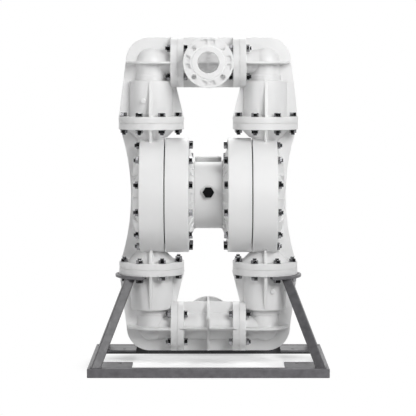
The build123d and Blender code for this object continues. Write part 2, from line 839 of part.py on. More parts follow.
cap_screw_x = valve_half_w - cap_screw_margin
cap_screw_y = cap_half_d - cap_screw_margin
with BuildPart() as air_valve_end_caps:
    for side in (-1, 1):
        with BuildSketch(Plane.XY.offset(pump_z + side * valve_half_h)):
            with Locations((0, spool_y)):
                RectangleRounded(2 * valve_half_w, 2 * cap_half_d, valve_corner_r)
        extrude(amount=side * cap_t)
        # Each screw's head lies flush in its recess
        with BuildSketch(Plane.XY.offset(pump_z + side * (valve_half_h + cap_t))):
            with Locations((0, spool_y)):
                with GridLocations(2 * cap_screw_x, 2 * cap_screw_y, 2, 2):
                    Circle(cap_recess_r)
        extrude(amount=-side * cap_screw_h, mode=Mode.SUBTRACT)
save(air_valve_end_caps.part, "air_valve_end_caps")

with BuildPart() as air_valve_screws:
    for side in (-1, 1):
        with BuildSketch(Plane.XY.offset(pump_z + side * (valve_half_h + cap_t))):
            with Locations((0, spool_y)):
                with GridLocations(2 * cap_screw_x, 2 * cap_screw_y, 2, 2):
                    RegularPolygon(cap_screw_af / 2, 6, major_radius=False)
        extrude(amount=-side * cap_screw_h)
save(air_valve_screws.part, "air_valve_screws")

with BuildPart() as exhaust_muffler:
    with BuildSketch(rear_plane(valve_back_y, pump_z + muffler_z)):
        Circle(muffler_neck_r)
    extrude(amount=muffler_neck_l)
    with BuildSketch(rear_plane(valve_back_y + muffler_neck_l, pump_z + muffler_z)):
        Circle(muffler_r)
    extrude(amount=muffler_l)
    chamfer(exhaust_muffler.faces().sort_by(Axis.Y)[-1].edges(), muffler_chamfer)
save(exhaust_muffler.part, "exhaust_muffler")


# Balls, seats and seal rings: one set in each port
def make_port_set(name, side, seat_z):
    seat_h = seat_recess - seat_ring_t
    with BuildPart() as seat:
        with BuildSketch(Plane.XY.offset(seat_z)):
            with Locations((side * port_x, 0)):
                Circle(seat_r)
                Circle(seat_bore_r, mode=Mode.SUBTRACT)
        extrude(amount=seat_h)
    save(seat.part, f"{name}_seat")
    with BuildPart() as ball:
        with Locations((side * port_x, 0, seat_z + seat_h + ball_height)):
            Sphere(ball_r)
    save(ball.part, f"{name}_ball")


for side, side_name in ((-1, "left"), (1, "right")):
    make_port_set(f"outlet_{side_name}", side, upper_seam_z - seat_recess)
    make_port_set(f"inlet_{side_name}", side, lower_seam_z + seat_ring_t)

with BuildPart() as seat_rings:
    with BuildSketch(Plane.XY.offset(lower_seam_z), Plane.XY.offset(upper_seam_z - seat_ring_t)):
        with GridLocations(2 * port_x, 0, 2, 1):
            Circle(seat_r)
            Circle(seat_ring_inner_r, mode=Mode.SUBTRACT)
    extrude(amount=seat_ring_t)
save(seat_rings.part, "seat_rings")

with BuildPart() as manifold_rings:
    for ring_z in (pump_z - manifold_reach, outlet_z):
        for side in (-1, 1):
            with BuildSketch(across_plane(side * manifold_seam_x, ring_z)):
                Circle(pipe_bore_r + 2 * seat_ring_t)
                Circle(pipe_bore_r + seat_ring_t, mode=Mode.SUBTRACT)
            extrude(amount=side * seat_ring_t)
save(manifold_rings.part, "manifold_rings")

# Bolts: hexagon heads and nuts, seated on the faces that they clamp
for side, side_name in ((-1, "left"), (1, "right")):
    with BuildPart() as chamber_bolts_group:
        with BuildSketch(across_plane(side * air_rim_x), across_plane(side * (liquid_rim_x + nut_h))):
            with PolarLocations(chamber_bolt_circle_r, chamber_bolts, start_angle=180 / chamber_bolts):
                RegularPolygon(chamber_bolt_af / 2, 6, major_radius=False)
        extrude(amount=-side * nut_h)
    save(chamber_bolts_group.part, f"chamber_bolts_{side_name}")


def port_hexagons(plane_z, angles):
    # Hexagons round both ports, at these angles from the outboard direction
    with BuildSketch(Plane.XY.offset(plane_z)) as hexagons:
        for port_side in (-1, 1):
            for angle in angles:
                turn = radians(angle)
                across = port_side * (port_x + port_bolt_circle_r * cos(turn))
                with Locations((across, port_bolt_circle_r * sin(turn))):
                    RegularPolygon(port_bolt_af / 2, 6, major_radius=False, rotation=port_side * angle)
    return hexagons.sketch


# Angles of the port bolts from the outboard direction, and those that also clamp the stand's plates
port_angles = [360 * (n + 0.5) / port_bolts for n in range(port_bolts)]
plate_angles = [a for a in port_angles if cos(radians(a)) > cos(radians(support_span / 2))]
open_angles = [a for a in port_angles if a not in plate_angles]

with BuildPart() as outlet_port_bolts:
    extrude(port_hexagons(upper_seam_z + port_flange_t, port_angles), amount=head_h)
    extrude(port_hexagons(upper_seam_z - port_flange_t, port_angles), amount=-nut_h)
save(outlet_port_bolts.part, "outlet_port_bolts")

with BuildPart() as inlet_port_bolts:
    extrude(port_hexagons(lower_seam_z + port_flange_t, port_angles), amount=head_h)
    extrude(port_hexagons(support_bottom_z, plate_angles), amount=-nut_h)
    extrude(port_hexagons(lower_seam_z - port_flange_t, open_angles), amount=-nut_h)
save(inlet_port_bolts.part, "inlet_port_bolts")

for manifold_z, manifold_name in ((outlet_z, "outlet"), (pump_z - manifold_reach, "inlet")):
    with BuildPart() as manifold_bolts:
        for side in (-1, 1):
            for reach, height in ((-pipe_flange_t, -head_h), (pipe_flange_t, nut_h)):
                with BuildSketch(across_plane(side * (manifold_seam_x + reach), manifold_z)):
                    with PolarLocations(pipe_bolt_circle_r, pipe_bolts, start_angle=45):
                        RegularPolygon(pipe_bolt_af / 2, 6, major_radius=False)
                extrude(amount=side * height)
    save(manifold_bolts.part, f"{manifold_name}_manifold_bolts")


# Stand: four mitred rails, four leaning legs, two slotted support plates and four foot plates
def make_rail(name, half_l, half_reach, turn):
    # Half lengths to the outer corner and across the stand, with a quarter turn for the side rails
    rail_plane = Plane(origin=(0, 0, 0), x_dir=(cos(radians(turn)), sin(radians(turn)), 0), z_dir=(0, 0, 1))
    with BuildPart() as rail:
        for start, inset, height, mode in (
            (0, 0, tube, Mode.ADD),
            (tube_wall, tube_wall, tube - 2 * tube_wall, Mode.SUBTRACT),
        ):
            with BuildSketch(rail_plane.offset(start)):
                with BuildLine():
                    Polyline(
                        (-half_l + inset, -half_reach + inset),
                        (half_l - inset, -half_reach + inset),
                        (half_l - tube + inset, -half_reach + tube - inset),
                        (-half_l + tube - inset, -half_reach + tube - inset),
                        close=True,
                    )
                make_face()
            extrude(amount=height, mode=mode)
    save(rail.part, name)


make_rail("base_rail_front", stand_w / 2, stand_d / 2, 0)
make_rail("base_rail_rear", stand_w / 2, stand_d / 2, 180)
make_rail("base_rail_right", stand_d / 2, stand_w / 2, 90)
make_rail("base_rail_left", stand_d / 2, stand_w / 2, 270)


def make_leg(name, x_side, y_side):
    foot = Vector(x_side * (stand_w / 2 - leg_inset_x), y_side * (stand_d / 2 - leg_inset_y), tube)
    reach = leg_top_r * sqrt(0.5)
    top = Vector(x_side * (port_x + reach), y_side * reach, support_bottom_z)
    lean = (top - foot).normalized()
    across = Vector(0, 0, 1).cross(lean).normalized()
    leg_plane = Plane(origin=foot - lean * tube, x_dir=across, z_dir=lean)
    length = (top - foot).length + 2 * tube
    with BuildPart() as leg:
        with BuildSketch(leg_plane):
            Rectangle(tube, tube, rotation=45)
            Rectangle(tube - 2 * tube_wall, tube - 2 * tube_wall, rotation=45, mode=Mode.SUBTRACT)
        extrude(amount=length)
        split(bisect_by=Plane.XY.offset(tube), keep=Keep.TOP)
        split(bisect_by=Plane.XY.offset(support_bottom_z), keep=Keep.BOTTOM)
    save(leg.part, name)


make_leg("leg_front_left", -1, -1)
make_leg("leg_front_right", 1, -1)
make_leg("leg_rear_left", -1, 1)
make_leg("leg_rear_right", 1, 1)

for side, side_name in ((-1, "left"), (1, "right")):
    with BuildPart() as support_plate:
        with BuildSketch(Plane.XY.offset(support_bottom_z)):
            with Locations((side * port_x, 0)):
                Circle(support_outer_r)
                Circle(support_inner_r, mode=Mode.SUBTRACT)
            slot_l = web_foot_reach + slot_clearance
            with Locations((side * (port_x + slot_l / 2), 0)):
                Rectangle(slot_l, web_t + 2 * slot_clearance, mode=Mode.SUBTRACT)
            edge_x = port_x + support_inner_r * cos(radians(support_span / 2))
            with Locations((side * (edge_x - support_outer_r), 0)):
                Rectangle(2 * support_outer_r, 2 * support_outer_r, mode=Mode.SUBTRACT)
        extrude(amount=support_t)
    save(support_plate.part, f"support_plate_{side_name}")

with BuildPart() as foot_plates:
    inner_half_w = stand_w / 2 - tube
    inner_half_d = stand_d / 2 - tube
    with BuildSketch(Plane.XY.offset(tube - foot_plate_t)):
        with GridLocations(2 * inner_half_w - foot_plate_w, 2 * inner_half_d - foot_plate_d, 2, 2):
            Rectangle(foot_plate_w, foot_plate_d)
        with GridLocations(2 * (inner_half_w - anchor_inset_x), 2 * (inner_half_d - anchor_inset_y), 2, 2):
            Circle(anchor_r, mode=Mode.SUBTRACT)
    extrude(amount=foot_plate_t)
save(foot_plates.part, "foot_plates")
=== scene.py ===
import json
from math import asin, cos, degrees, hypot, pi, radians, sin, sqrt

import bmesh
import bpy
from bpy.props import FloatProperty, FloatVectorProperty, PointerProperty
from mathutils import Matrix, Vector

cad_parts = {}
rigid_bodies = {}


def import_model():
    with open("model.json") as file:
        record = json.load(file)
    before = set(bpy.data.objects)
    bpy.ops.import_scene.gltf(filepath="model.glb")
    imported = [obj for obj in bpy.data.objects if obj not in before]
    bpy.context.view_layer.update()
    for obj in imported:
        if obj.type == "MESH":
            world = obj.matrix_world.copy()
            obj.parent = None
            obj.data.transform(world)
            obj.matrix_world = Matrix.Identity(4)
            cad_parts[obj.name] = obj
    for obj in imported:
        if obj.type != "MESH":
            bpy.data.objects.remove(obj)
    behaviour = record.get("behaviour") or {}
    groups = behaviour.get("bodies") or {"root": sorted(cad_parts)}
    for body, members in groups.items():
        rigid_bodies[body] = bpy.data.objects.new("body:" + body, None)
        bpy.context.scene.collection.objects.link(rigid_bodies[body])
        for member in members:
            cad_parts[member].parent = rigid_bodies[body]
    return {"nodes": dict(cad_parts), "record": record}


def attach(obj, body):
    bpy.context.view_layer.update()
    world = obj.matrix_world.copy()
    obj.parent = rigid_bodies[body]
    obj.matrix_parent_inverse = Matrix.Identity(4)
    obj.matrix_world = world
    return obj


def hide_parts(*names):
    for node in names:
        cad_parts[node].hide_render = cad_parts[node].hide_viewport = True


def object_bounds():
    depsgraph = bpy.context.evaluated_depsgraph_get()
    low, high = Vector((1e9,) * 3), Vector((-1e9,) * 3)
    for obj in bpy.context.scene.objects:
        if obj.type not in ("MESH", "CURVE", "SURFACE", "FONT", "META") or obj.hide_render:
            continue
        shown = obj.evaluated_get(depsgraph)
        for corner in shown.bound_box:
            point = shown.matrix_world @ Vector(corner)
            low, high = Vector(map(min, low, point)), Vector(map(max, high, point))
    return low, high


bl_info = {
    "name": "Diaphragm Pump",
    "version": (1, 0, 0),
    "blender": (4, 5, 0),
    "location": "View3D > Sidebar > Pump",
    "description": "Dresses a bolted plastic diaphragm pump on its square tube stand",
    "category": "Add Mesh",
}

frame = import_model()
CAD_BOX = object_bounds()

ROOT_BODY = "pump_on_stand"

# Heights above the shaft of the pilot spool and of the front plug
PILOT_RISE = 0.062
PLUG_RISE = 0.020
# From the shaft's axis to the plug's seat
PLUG_SEAT = 0.1318

# The air valve behind the centre section: its half sizes, its front and back, and its spool's axis
VALVE_HALF_WIDTH = 0.052
VALVE_HALF_HEIGHT = 0.118
VALVE_FRONT = 0.135
VALVE_BACK = 0.215
SPOOL_AXIS = 0.168
# Height of the air inlet above the shaft, and of the muffler below it
VALVE_PORT_RISE = 0.062

WASHER_THICKNESS = 0.0025
SUPPORT_THICKNESS = 0.010

# Faces round the largest turned forms
DRUM_STEPS = 160

# Turns from a piece's own axes to the pump's. A turned profile's height runs along the third axis.
UPRIGHT = Matrix.Identity(4)
FACING_FRONT = Matrix.Rotation(pi / 2, 4, "X")
FACING_REAR = Matrix.Rotation(-pi / 2, 4, "X")
FACING_RIGHT = Matrix(((0, 0, 1, 0), (1, 0, 0, 0), (0, 1, 0, 0), (0, 0, 0, 1)))
FACING_LEFT = Matrix.Rotation(pi, 4, "Z") @ FACING_RIGHT
UPSIDE_DOWN = Matrix.Rotation(pi, 4, "X")

# The pump's two sides, each with the turns away from the middle and back
SIDES = ((1, "right", FACING_RIGHT, FACING_LEFT), (-1, "left", FACING_LEFT, FACING_RIGHT))
# The two manifolds, above and below the shaft
LEVELS = (("outlet", 1), ("inlet", -1))


def size(name, default, text):
    """A length that a user may change"""
    return FloatProperty(
        name=name, description=text, default=default, min=0.0, subtype="DISTANCE", unit="LENGTH"
    )


def share(name, default, text):
    """A value from 0 to 1"""
    return FloatProperty(name=name, description=text, default=default, min=0.0, max=1.0, subtype="FACTOR")


def colour(name, default, text):
    """A plain colour"""
    return FloatVectorProperty(
        name=name, description=text, default=default, size=3, min=0.0, max=1.0, subtype="COLOR"
    )


def watts(name, default, text):
    """A lamp's power"""
    return FloatProperty(name=name, description=text, default=default, min=0.0, unit="POWER")


class PumpSizes(bpy.types.PropertyGroup):
    """Sizes of the pump's mouldings and stand, in metres"""

    shaft_height: size("Shaft height", 0.662, "Height of the diaphragm shaft above the floor")
    port_offset: size("Port offset", 0.219, "From the middle to the upright port axes")
    port_reach: size("Port reach", 0.279, "From the shaft to the port seams")
    manifold_reach: size("Manifold reach", 0.509, "From the shaft to the manifold pipes")
    manifold_seam: size("Manifold seam", 0.119, "From the middle to the seams of the tees")
    port_flange: size("Port flange radius", 0.125, "Outer radius of the port flanges")
    port_bolt_circle: size("Port bolt circle", 0.112, "Radius of the port flanges' bolt circle")
    pipe_flange: size("Pipe flange radius", 0.09525, "Outer radius of the pipe flanges")
    pipe_bolt_circle: size("Pipe bolt circle", 0.0762, "Radius of the pipe flanges' bolt circle")
    flange_thickness: size("Flange thickness", 0.025, "Thickness of every flange")
    pipe: size("Pipe radius", 0.050, "Outer radius of the manifold pipes")
    bore: size("Bore radius", 0.040, "Radius of the pipe bores")
    branch_reach: size("Branch reach", 0.165, "From the manifold axis to the branch flange's face")
    bell: size("Bell radius", 0.083, "Outer radius of the elbow's bell")
    riser: size("Riser radius", 0.056, "Outer radius of the elbow's riser and of its round corner")
    bell_height: size("Bell height", 0.1607, "From the port seam to the bell's shoulder")
    web: size("Web thickness", 0.010, "Thickness of the upright webs")
    shelf: size("Shelf thickness", 0.008, "Thickness of the flat webs")
    fin: size("Fin thickness", 0.012, "Thickness of the fins on bells and necks")
    drum: size("Drum radius", 0.220, "Radius of the round chambers")
    split: size("Split offset", 0.166, "From the middle to the diaphragm's plane")
    liquid_rim: size("Liquid rim", 0.262, "From the middle to the outboard face of a drum")
    air_rim: size("Air rim", 0.074, "From the middle to the inboard face of a drum")
    chamber_bolt_circle: size("Chamber bolt circle", 0.200, "Radius of the drums' bolt circle")
    barrel: size("Barrel radius", 0.128, "Radius of the centre section")
    barrel_half: size("Barrel half length", 0.053, "Half the length of the centre section")
    hexagon: size("Hexagon", 0.024, "Width across the flats of the bolts")
    tube: size("Tube size", 0.035, "Outer size of the stand's square tube")


class PumpFinish(bpy.types.PropertyGroup):
    """Colours and finishes of the pump"""

    plastic: colour("Plastic", (0.84, 0.84, 0.84), "Natural polypropylene")
    plastic_roughness: share("Plastic roughness", 0.36, "Roughness of the mouldings")
    plastic_translucence: share("Plastic translucence", 0.32, "Light scattered inside the mouldings")
    steel: colour("Steel", (0.28, 0.28, 0.29), "Bolts, nuts and washers")
    steel_roughness: share("Steel roughness", 0.11, "Roughness of the bolts")
    paint: colour("Paint", (0.142, 0.139, 0.148), "Paint of the stand")
    paint_roughness: share("Paint roughness", 0.42, "Roughness of the stand's paint")
    black: colour("Black", (0.007, 0.007, 0.008), "Plug, muffler and rubber")
    bronze: colour("Bronze", (0.56, 0.36, 0.16), "Bushings and pilot sleeve")


class PumpStudio(bpy.types.PropertyGroup):
    """Camera, lamps and floor"""

    lens: FloatProperty(name="Lens", description="Focal length", default=151.44, min=1.0, unit="CAMERA")
    tilt: FloatProperty(
        name="Tilt", description="Camera's downward tilt", default=radians(4.77), subtype="ANGLE"
    )
    distance: size("Distance", 6.75, "From the camera to the pump's middle plane")
    aim_height: size("Aim height", 0.6116, "Height of the point the camera looks at")
    key: watts("Key lamp", 138.0, "Main lamp, from the right and above")
    top: watts("Top lamp", 23.0, "Lamp overhead")
    fill: watts("Fill lamp", 45.0, "Soft lamp from the left")
    rear: watts("Rear lamp", 36.0, "Soft lamp from behind and above")
    ambient: share("Ambient", 0.58, "World light that falls on the pump from behind")
    room: share("Room", 0.02, "Grey of the room in front of the pump, as metal reflects it")
    floor_glow: share("Floor glow", 0.32, "White that the camera sees in the floor's shadow")
    floor_reach: FloatProperty(
        name="Floor reach",
        description="How far out the floor still shows its shadow, as a multiple of the stand's half size",
        default=1.25,
        min=0.0,
    )


# Mesh helpers


def rounded(points, steps=4):
    """The same outline, with each corner that has a third number rounded by that reach"""
    outline = []
    for index, point in enumerate(points):
        if len(point) == 2:
            outline.append(point)
            continue
        here = Vector(point[:2])
        before = Vector(points[index - 1][:2])
        after = Vector(points[(index + 1) % len(points)][:2])
        reach = min(point[2], 0.48 * (before - here).length, 0.48 * (after - here).length)
        start = here + (before - here).normalized() * reach
        end = here + (after - here).normalized() * reach
        for step in range(steps + 1):
            t = step / steps
            outline.append(tuple(start.lerp(here, t).lerp(here.lerp(end, t), t)))
    return outline


def rectangle(left, low, right, high):
    """Corners of a rectangle"""
    return [(left, low), (right, low), (right, high), (left, high)]


def arc(centre, radius, start, end, steps):
    """Points on an arc, angles in degrees from the first axis"""
    angles = [radians(start + (end - start) * n / steps) for n in range(steps + 1)]
    return [(centre[0] + radius * cos(a), centre[1] + radius * sin(a)) for a in angles]


def solid(bm, turn, origin=(0, 0, 0)):
    """Closes a mesh under construction into an unlinked object, turned and moved into place"""
    bmesh.ops.recalc_face_normals(bm, faces=bm.faces)
    mesh = bpy.data.meshes.new("solid")
    bm.to_mesh(mesh)
    bm.free()
    mesh.transform(Matrix.Translation(origin) @ turn)
    return bpy.data.objects.new("solid", mesh)


def lathe(profile, turn=UPRIGHT, origin=(0, 0, 0), steps=96, loop=False):
    """A turned solid, from (radius, height) points"""
    bm = bmesh.new()
    rings = []
    for radius, height in profile:
        if radius < 1e-6:
            rings.append([bm.verts.new((0, 0, height))])
            continue
        angles = [2 * pi * n / steps for n in range(steps)]
        rings.append([bm.verts.new((radius * cos(a), radius * sin(a), height)) for a in angles])
    pairs = list(zip(rings, rings[1:]))
    if loop:
        pairs.append((rings[-1], rings[0]))
    for low, high in pairs:
        for n in range(steps):
            after = (n + 1) % steps
            corners = (low[n % len(low)], low[after % len(low)], high[after % len(high)], high[n % len(high)])
            face = list(dict.fromkeys(corners))
            if len(face) > 2:
                bm.faces.new(face)
    return solid(bm, turn, origin)


def disc(radius, low, high, turn=UPRIGHT, origin=(0, 0, 0), edge=0.0015, steps=96):
    """A plain round slab with softened edges"""
    profile = rounded([(0, low), (radius, low, edge), (radius, high, edge), (0, high)])
    return lathe(profile, turn, origin, steps)


def slab(outline, thickness, turn=UPRIGHT, origin=(0, 0, 0), rim=0.0015):
    """A flat plate with softened edges, centred on its own plane"""
    bm = bmesh.new()
    face = bm.faces.new([bm.verts.new((x, y, -thickness / 2)) for x, y in outline])
    lifted = bmesh.ops.extrude_face_region(bm, geom=[face])["geom"]
    upper = [part for part in lifted if isinstance(part, bmesh.types.BMVert)]
    bmesh.ops.translate(bm, vec=(0, 0, thickness), verts=upper)
    bmesh.ops.recalc_face_normals(bm, faces=bm.faces)
    if rim:
        edges = [e for e in bm.edges if abs(e.verts[0].co.z - e.verts[1].co.z) < 1e-7]
        bmesh.ops.bevel(bm, geom=edges, offset=rim, segments=2, profile=0.6, affect="EDGES")
    return solid(bm, turn, origin)


def pipe(path, steps=72):
    """A round bar along a path of (x, z, radius) points, in the upright middle plane"""
    bm = bmesh.new()
    rings = []
    for index, (x, z, radius) in enumerate(path):
        before = path[max(index - 1, 0)]
        after = path[min(index + 1, len(path) - 1)]
        along = Vector((after[0] - before[0], 0, after[1] - before[1])).normalized()
        side = Vector((0, 1, 0)).cross(along)
        angles = [2 * pi * n / steps for n in range(steps)]
        spots = [Vector((x, 0, z)) + radius * (cos(a) * side + sin(a) * Vector((0, 1, 0))) for a in angles]
        rings.append([bm.verts.new(spot) for spot in spots])
    for low, high in zip(rings, rings[1:]):
        for n in range(steps):
            after = (n + 1) % steps
            bm.faces.new((low[n], low[after], high[after], high[n]))
    bm.faces.new(rings[0])
    bm.faces.new(rings[-1])
    return solid(bm, UPRIGHT)


def shade(mesh, angle=28):
    """Smooth faces with sharp edges kept"""
    bm = bmesh.new()
    bm.from_mesh(mesh)
    bmesh.ops.remove_doubles(bm, verts=bm.verts, dist=2e-6)
    bmesh.ops.dissolve_degenerate(bm, edges=bm.edges, dist=2e-6)
    for face in bm.faces:
        face.smooth = True
    for edge in bm.edges:
        edge.smooth = len(edge.link_faces) == 2 and edge.calc_face_angle(pi) < radians(angle)
    bm.to_mesh(mesh)
    bm.free()


def boolean(body, operation, tools):
    """Joins the tools to a body or cuts them from it, and returns the collection that holds them"""
    group = bpy.data.collections.new(operation)
    bpy.context.scene.collection.children.link(group)
    for tool in tools:
        group.objects.link(tool)
    modifier = body.modifiers.new(operation, "BOOLEAN")
    modifier.operation = operation
    modifier.operand_type = "COLLECTION"
    modifier.collection = group
    modifier.solver = "EXACT"
    return group


def cast(name, solids, cuts=()):
    """One moulding: the solids joined into one mesh, less the cuts"""
    body = bpy.data.objects.new(name, solids[0].data)
    bpy.context.scene.collection.objects.link(body)
    steps = (("UNION", solids[1:]), ("DIFFERENCE", cuts))
    groups = [boolean(body, operation, tools) for operation, tools in steps if tools]
    bpy.context.view_layer.update()
    evaluated = body.evaluated_get(bpy.context.evaluated_depsgraph_get())
    mesh = bpy.data.meshes.new_from_object(evaluated)
    mesh.name = name
    body.modifiers.clear()
    body.data = mesh
    for group in groups:
        for tool in list(group.objects):
            bpy.data.objects.remove(tool)
        bpy.data.collections.remove(group)
    bpy.data.objects.remove(solids[0])
    shade(mesh)
    even_shading(body)
    return body


def even_shading(piece):
    """Large faces lead the shading, so that flats stay flat beside their rounded edges"""
    modifier = piece.modifiers.new("even_shading", "WEIGHTED_NORMAL")
    modifier.keep_sharp = True


def gathered(name, placed):
    """One object of separate solids, from (solid, matrix) pairs"""
    bm = bmesh.new()
    for part, matrix in placed:
        mesh = part.data.copy()
        mesh.transform(matrix)
        bm.from_mesh(mesh)
        bpy.data.meshes.remove(mesh)
    bmesh.ops.recalc_face_normals(bm, faces=bm.faces)
    mesh = bpy.data.meshes.new(name)
    bm.to_mesh(mesh)
    bm.free()
    shade(mesh)
    piece = bpy.data.objects.new(name, mesh)
    bpy.context.scene.collection.objects.link(piece)
    even_shading(piece)
    return piece


def turned_copy(piece, name, matrix):
    """The same moulding in another place"""
    mesh = piece.data.copy()
    mesh.transform(matrix)
    copy = bpy.data.objects.new(name, mesh)
    bpy.context.scene.collection.objects.link(copy)
    even_shading(copy)
    return copy


def half_turn(axis, height=0.0):
    """Half a turn about an axis through the pump's middle at that height"""
    lift = Matrix.Translation((0, 0, height))
    return lift @ Matrix.Rotation(pi, 4, axis) @ lift.inverted()


def dress(piece, slot, *nodes, finish=None):
    """Gives a piece its finish and its body, and hides the CAD nodes that it stands for"""
    piece.data.materials.clear()
    piece.data.materials.append(bpy.data.materials[f"{finish or slot}_finish"])
    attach(piece, ROOT_BODY)
    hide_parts(*nodes)
    return piece


# Finishes


def new_material(name, base, roughness, metallic=0.0):
    """An even finish: the material, its shader and the place its patterns follow"""
    material = bpy.data.materials.new(f"{name}_finish")
    material.use_nodes = True
    shader = material.node_tree.nodes["Principled BSDF"]
    shader.inputs["Base Color"].default_value = (*base, 1.0)
    shader.inputs["Roughness"].default_value = roughness
    shader.inputs["Metallic"].default_value = metallic
    place = material.node_tree.nodes.new("ShaderNodeTexCoord")
    return material, shader, place


def noise(material, place, scale, detail=2.0):
    """Noise that stays with the piece"""
    pattern = material.node_tree.nodes.new("ShaderNodeTexNoise")
    pattern.inputs["Scale"].default_value = scale
    pattern.inputs["Detail"].default_value = detail
    material.node_tree.links.new(place.outputs["Object"], pattern.inputs["Vector"])
    return pattern.outputs["Fac"]


def mottle(material, shader, place, base, scale, spread):
    """Uneven colour: the base, a little lighter and darker in patches"""
    ramp = material.node_tree.nodes.new("ShaderNodeValToRGB")
    dark, light = ramp.color_ramp.elements
    dark.position = 0.3
    light.position = 0.7
    dark.color = (*(c * (1 - spread) for c in base), 1.0)
    light.color = (*(min(c * (1 + spread), 1.0) for c in base), 1.0)
    links = material.node_tree.links
    links.new(noise(material, place, scale, 4.0), ramp.inputs["Fac"])
    links.new(ramp.outputs["Color"], shader.inputs["Base Color"])


def uneven_roughness(material, shader, place, scale, low, high):
    """Roughness that wanders between two values"""
    spread = material.node_tree.nodes.new("ShaderNodeMapRange")
    spread.inputs["To Min"].default_value = low
    spread.inputs["To Max"].default_value = high
    links = material.node_tree.links
    links.new(noise(material, place, scale), spread.inputs["Value"])
    links.new(spread.outputs["Result"], shader.inputs["Roughness"])


def grain(material, shader, place, scale, relief):
    """Fine relief in the surface"""
    bump = material.node_tree.nodes.new("ShaderNodeBump")
    bump.inputs["Strength"].default_value = 0.5
    bump.inputs["Distance"].default_value = relief
    links = material.node_tree.links
    links.new(noise(material, place, scale, 3.0), bump.inputs["Height"])
    links.new(bump.outputs["Normal"], shader.inputs["Normal"])


def make_plastic(name, base, roughness, translucence, depth):
    """Milky plastic. Light goes further into it the larger the depth"""
    material, shader, place = new_material(name, base, roughness)
    shader.inputs["Subsurface Weight"].default_value = translucence
    shader.inputs["Subsurface Radius"].default_value = (1.0, 1.0, 1.0)
    shader.inputs["Subsurface Scale"].default_value = depth
    shader.inputs["IOR"].default_value = 1.49
    mottle(material, shader, place, base, scale=7.0, spread=0.018)
    uneven_roughness(material, shader, place, 26.0, low=roughness - 0.05, high=roughness + 0.08)
    grain(material, shader, place, scale=620.0, relief=0.00012)


def make_metal(name, base, roughness, patches=90.0):
    """Bare metal, with faint patches and marks"""
    material, shader, place = new_material(name, base, roughness, 1.0)
    mottle(material, shader, place, base, patches, spread=0.08)
    uneven_roughness(material, shader, place, 140.0, low=roughness - 0.04, high=roughness + 0.08)
    grain(material, shader, place, scale=900.0, relief=0.00003)


def make_coat(name, base, roughness, relief, gloss=0.5, patches=14.0, spread=0.10):
    """Paint, rubber or dull plastic, with patches of colour"""
    material, shader, place = new_material(name, base, roughness)
    shader.inputs["Specular IOR Level"].default_value = gloss
    mottle(material, shader, place, base, patches, spread)
    uneven_roughness(material, shader, place, 60.0, low=roughness - 0.08, high=roughness + 0.10)
    grain(material, shader, place, scale=260.0, relief=relief)


def shaded(base, factor):
    """The colour, darker for a factor under 1 and lighter for one above"""
    return tuple(factor * c for c in base)


class PUMP_OT_finishes(bpy.types.Operator):
    """Make the materials and give the inner pieces theirs"""

    bl_idname = "pump.finishes"
    bl_label = "Finishes"

    def execute(self, context):
        finish = context.scene.pump_finish
        self.plastics(finish)
        self.metals(finish)
        self.coats(finish)
        self.inner_pieces()
        return {"FINISHED"}

    def plastics(self, finish):
        rough, milky = finish.plastic_roughness, finish.plastic_translucence
        skin_depth, bore_depth = 0.03, 0.8
        make_plastic("white_polypropylene", finish.plastic, rough, milky, skin_depth)
        # The centre section's copy is a little darker than the mouldings: partly a greyer moulding, partly
        # painted shade for the barrel set back between the drums.
        make_plastic("center_section", shaded(finish.plastic, 0.92), rough, milky, skin_depth)
        make_plastic("valve_casting", shaded(finish.plastic, 0.96), rough, milky, skin_depth)
        # The bore finish is whiter than the plastic and lets light in from far deeper: painted light on the
        # tees' bore walls, partly light that comes through them.
        make_plastic("lit_bore", (0.98, 0.98, 0.98), rough, 1.0, bore_depth)

    def metals(self, finish):
        make_metal("bolt_steel", finish.steel, finish.steel_roughness)
        make_metal("shaft_steel", finish.steel, 0.30, patches=240.0)
        make_metal("bushing_bronze", finish.bronze, 0.34)
        make_metal("spool_aluminium", (0.66, 0.66, 0.68), 0.36)

    def coats(self, finish):
        # The second and third copies are darker versions of the one paint: painted shade on the legs and,
        # darker still, on the rear rail, which stands in the pump's shadow.
        for name, factor in (("stand_paint", 1.0), ("leg_painted_shade", 0.66), ("rear_rail_painted_shade", 0.35)):
            paint = shaded(finish.paint, factor)
            make_coat(name, paint, finish.paint_roughness, 0.00035, patches=42.0, spread=0.20)
        make_coat("black_rubber", finish.black, 0.62, 0.00025)
        make_coat("black_plug", finish.black, 0.34, 0.00008, gloss=0.2)
        make_coat("muffler_plastic", shaded(finish.black, 2.2), 0.50, 0.0003)

    def inner_pieces(self):
        slots = {part["node"]: part["material_slot"] for part in frame["record"]["subparts"]}
        for name, node in frame["nodes"].items():
            for place in node.material_slots:
                place.material = bpy.data.materials[f"{slots[name]}_finish"]


# The mouldings


def bore_path(s, start, end_x, corner=0.062, steps=14):
    """Up the riser, round the bend and past the manifold seam, as (x, z, radius) points"""
    top = s.shaft_height + s.manifold_reach
    x = -s.port_offset
    bend = arc((x + corner, top - corner), corner, 180, 90, steps)
    return [(across, up, s.bore) for across, up in [(x, start)] + bend + [(end_x, top)]]


def elbow_outline(s, rise):
    """Flange, bell, collar and riser under a round corner, about the port's axis"""
    shoulder = s.bell_height
    collar_foot, collar_head, collar_rise = 0.0600, 0.0590, 0.0213
    outline = rounded([
        (0, 0),
        (s.port_flange, 0, 0.0022),
        (s.port_flange, s.flange_thickness, 0.0022),
        (s.bell, s.flange_thickness, 0.004),
        (s.bell, shoulder, 0.005),
        (collar_foot, shoulder, 0.003),
        (collar_head, shoulder + collar_rise, 0.002),
        (s.riser, shoulder + collar_rise + 0.001, 0.001),
        (s.riser, rise),
    ])
    return outline + arc((0, rise), s.riser, 0, 90, 14)[1:]


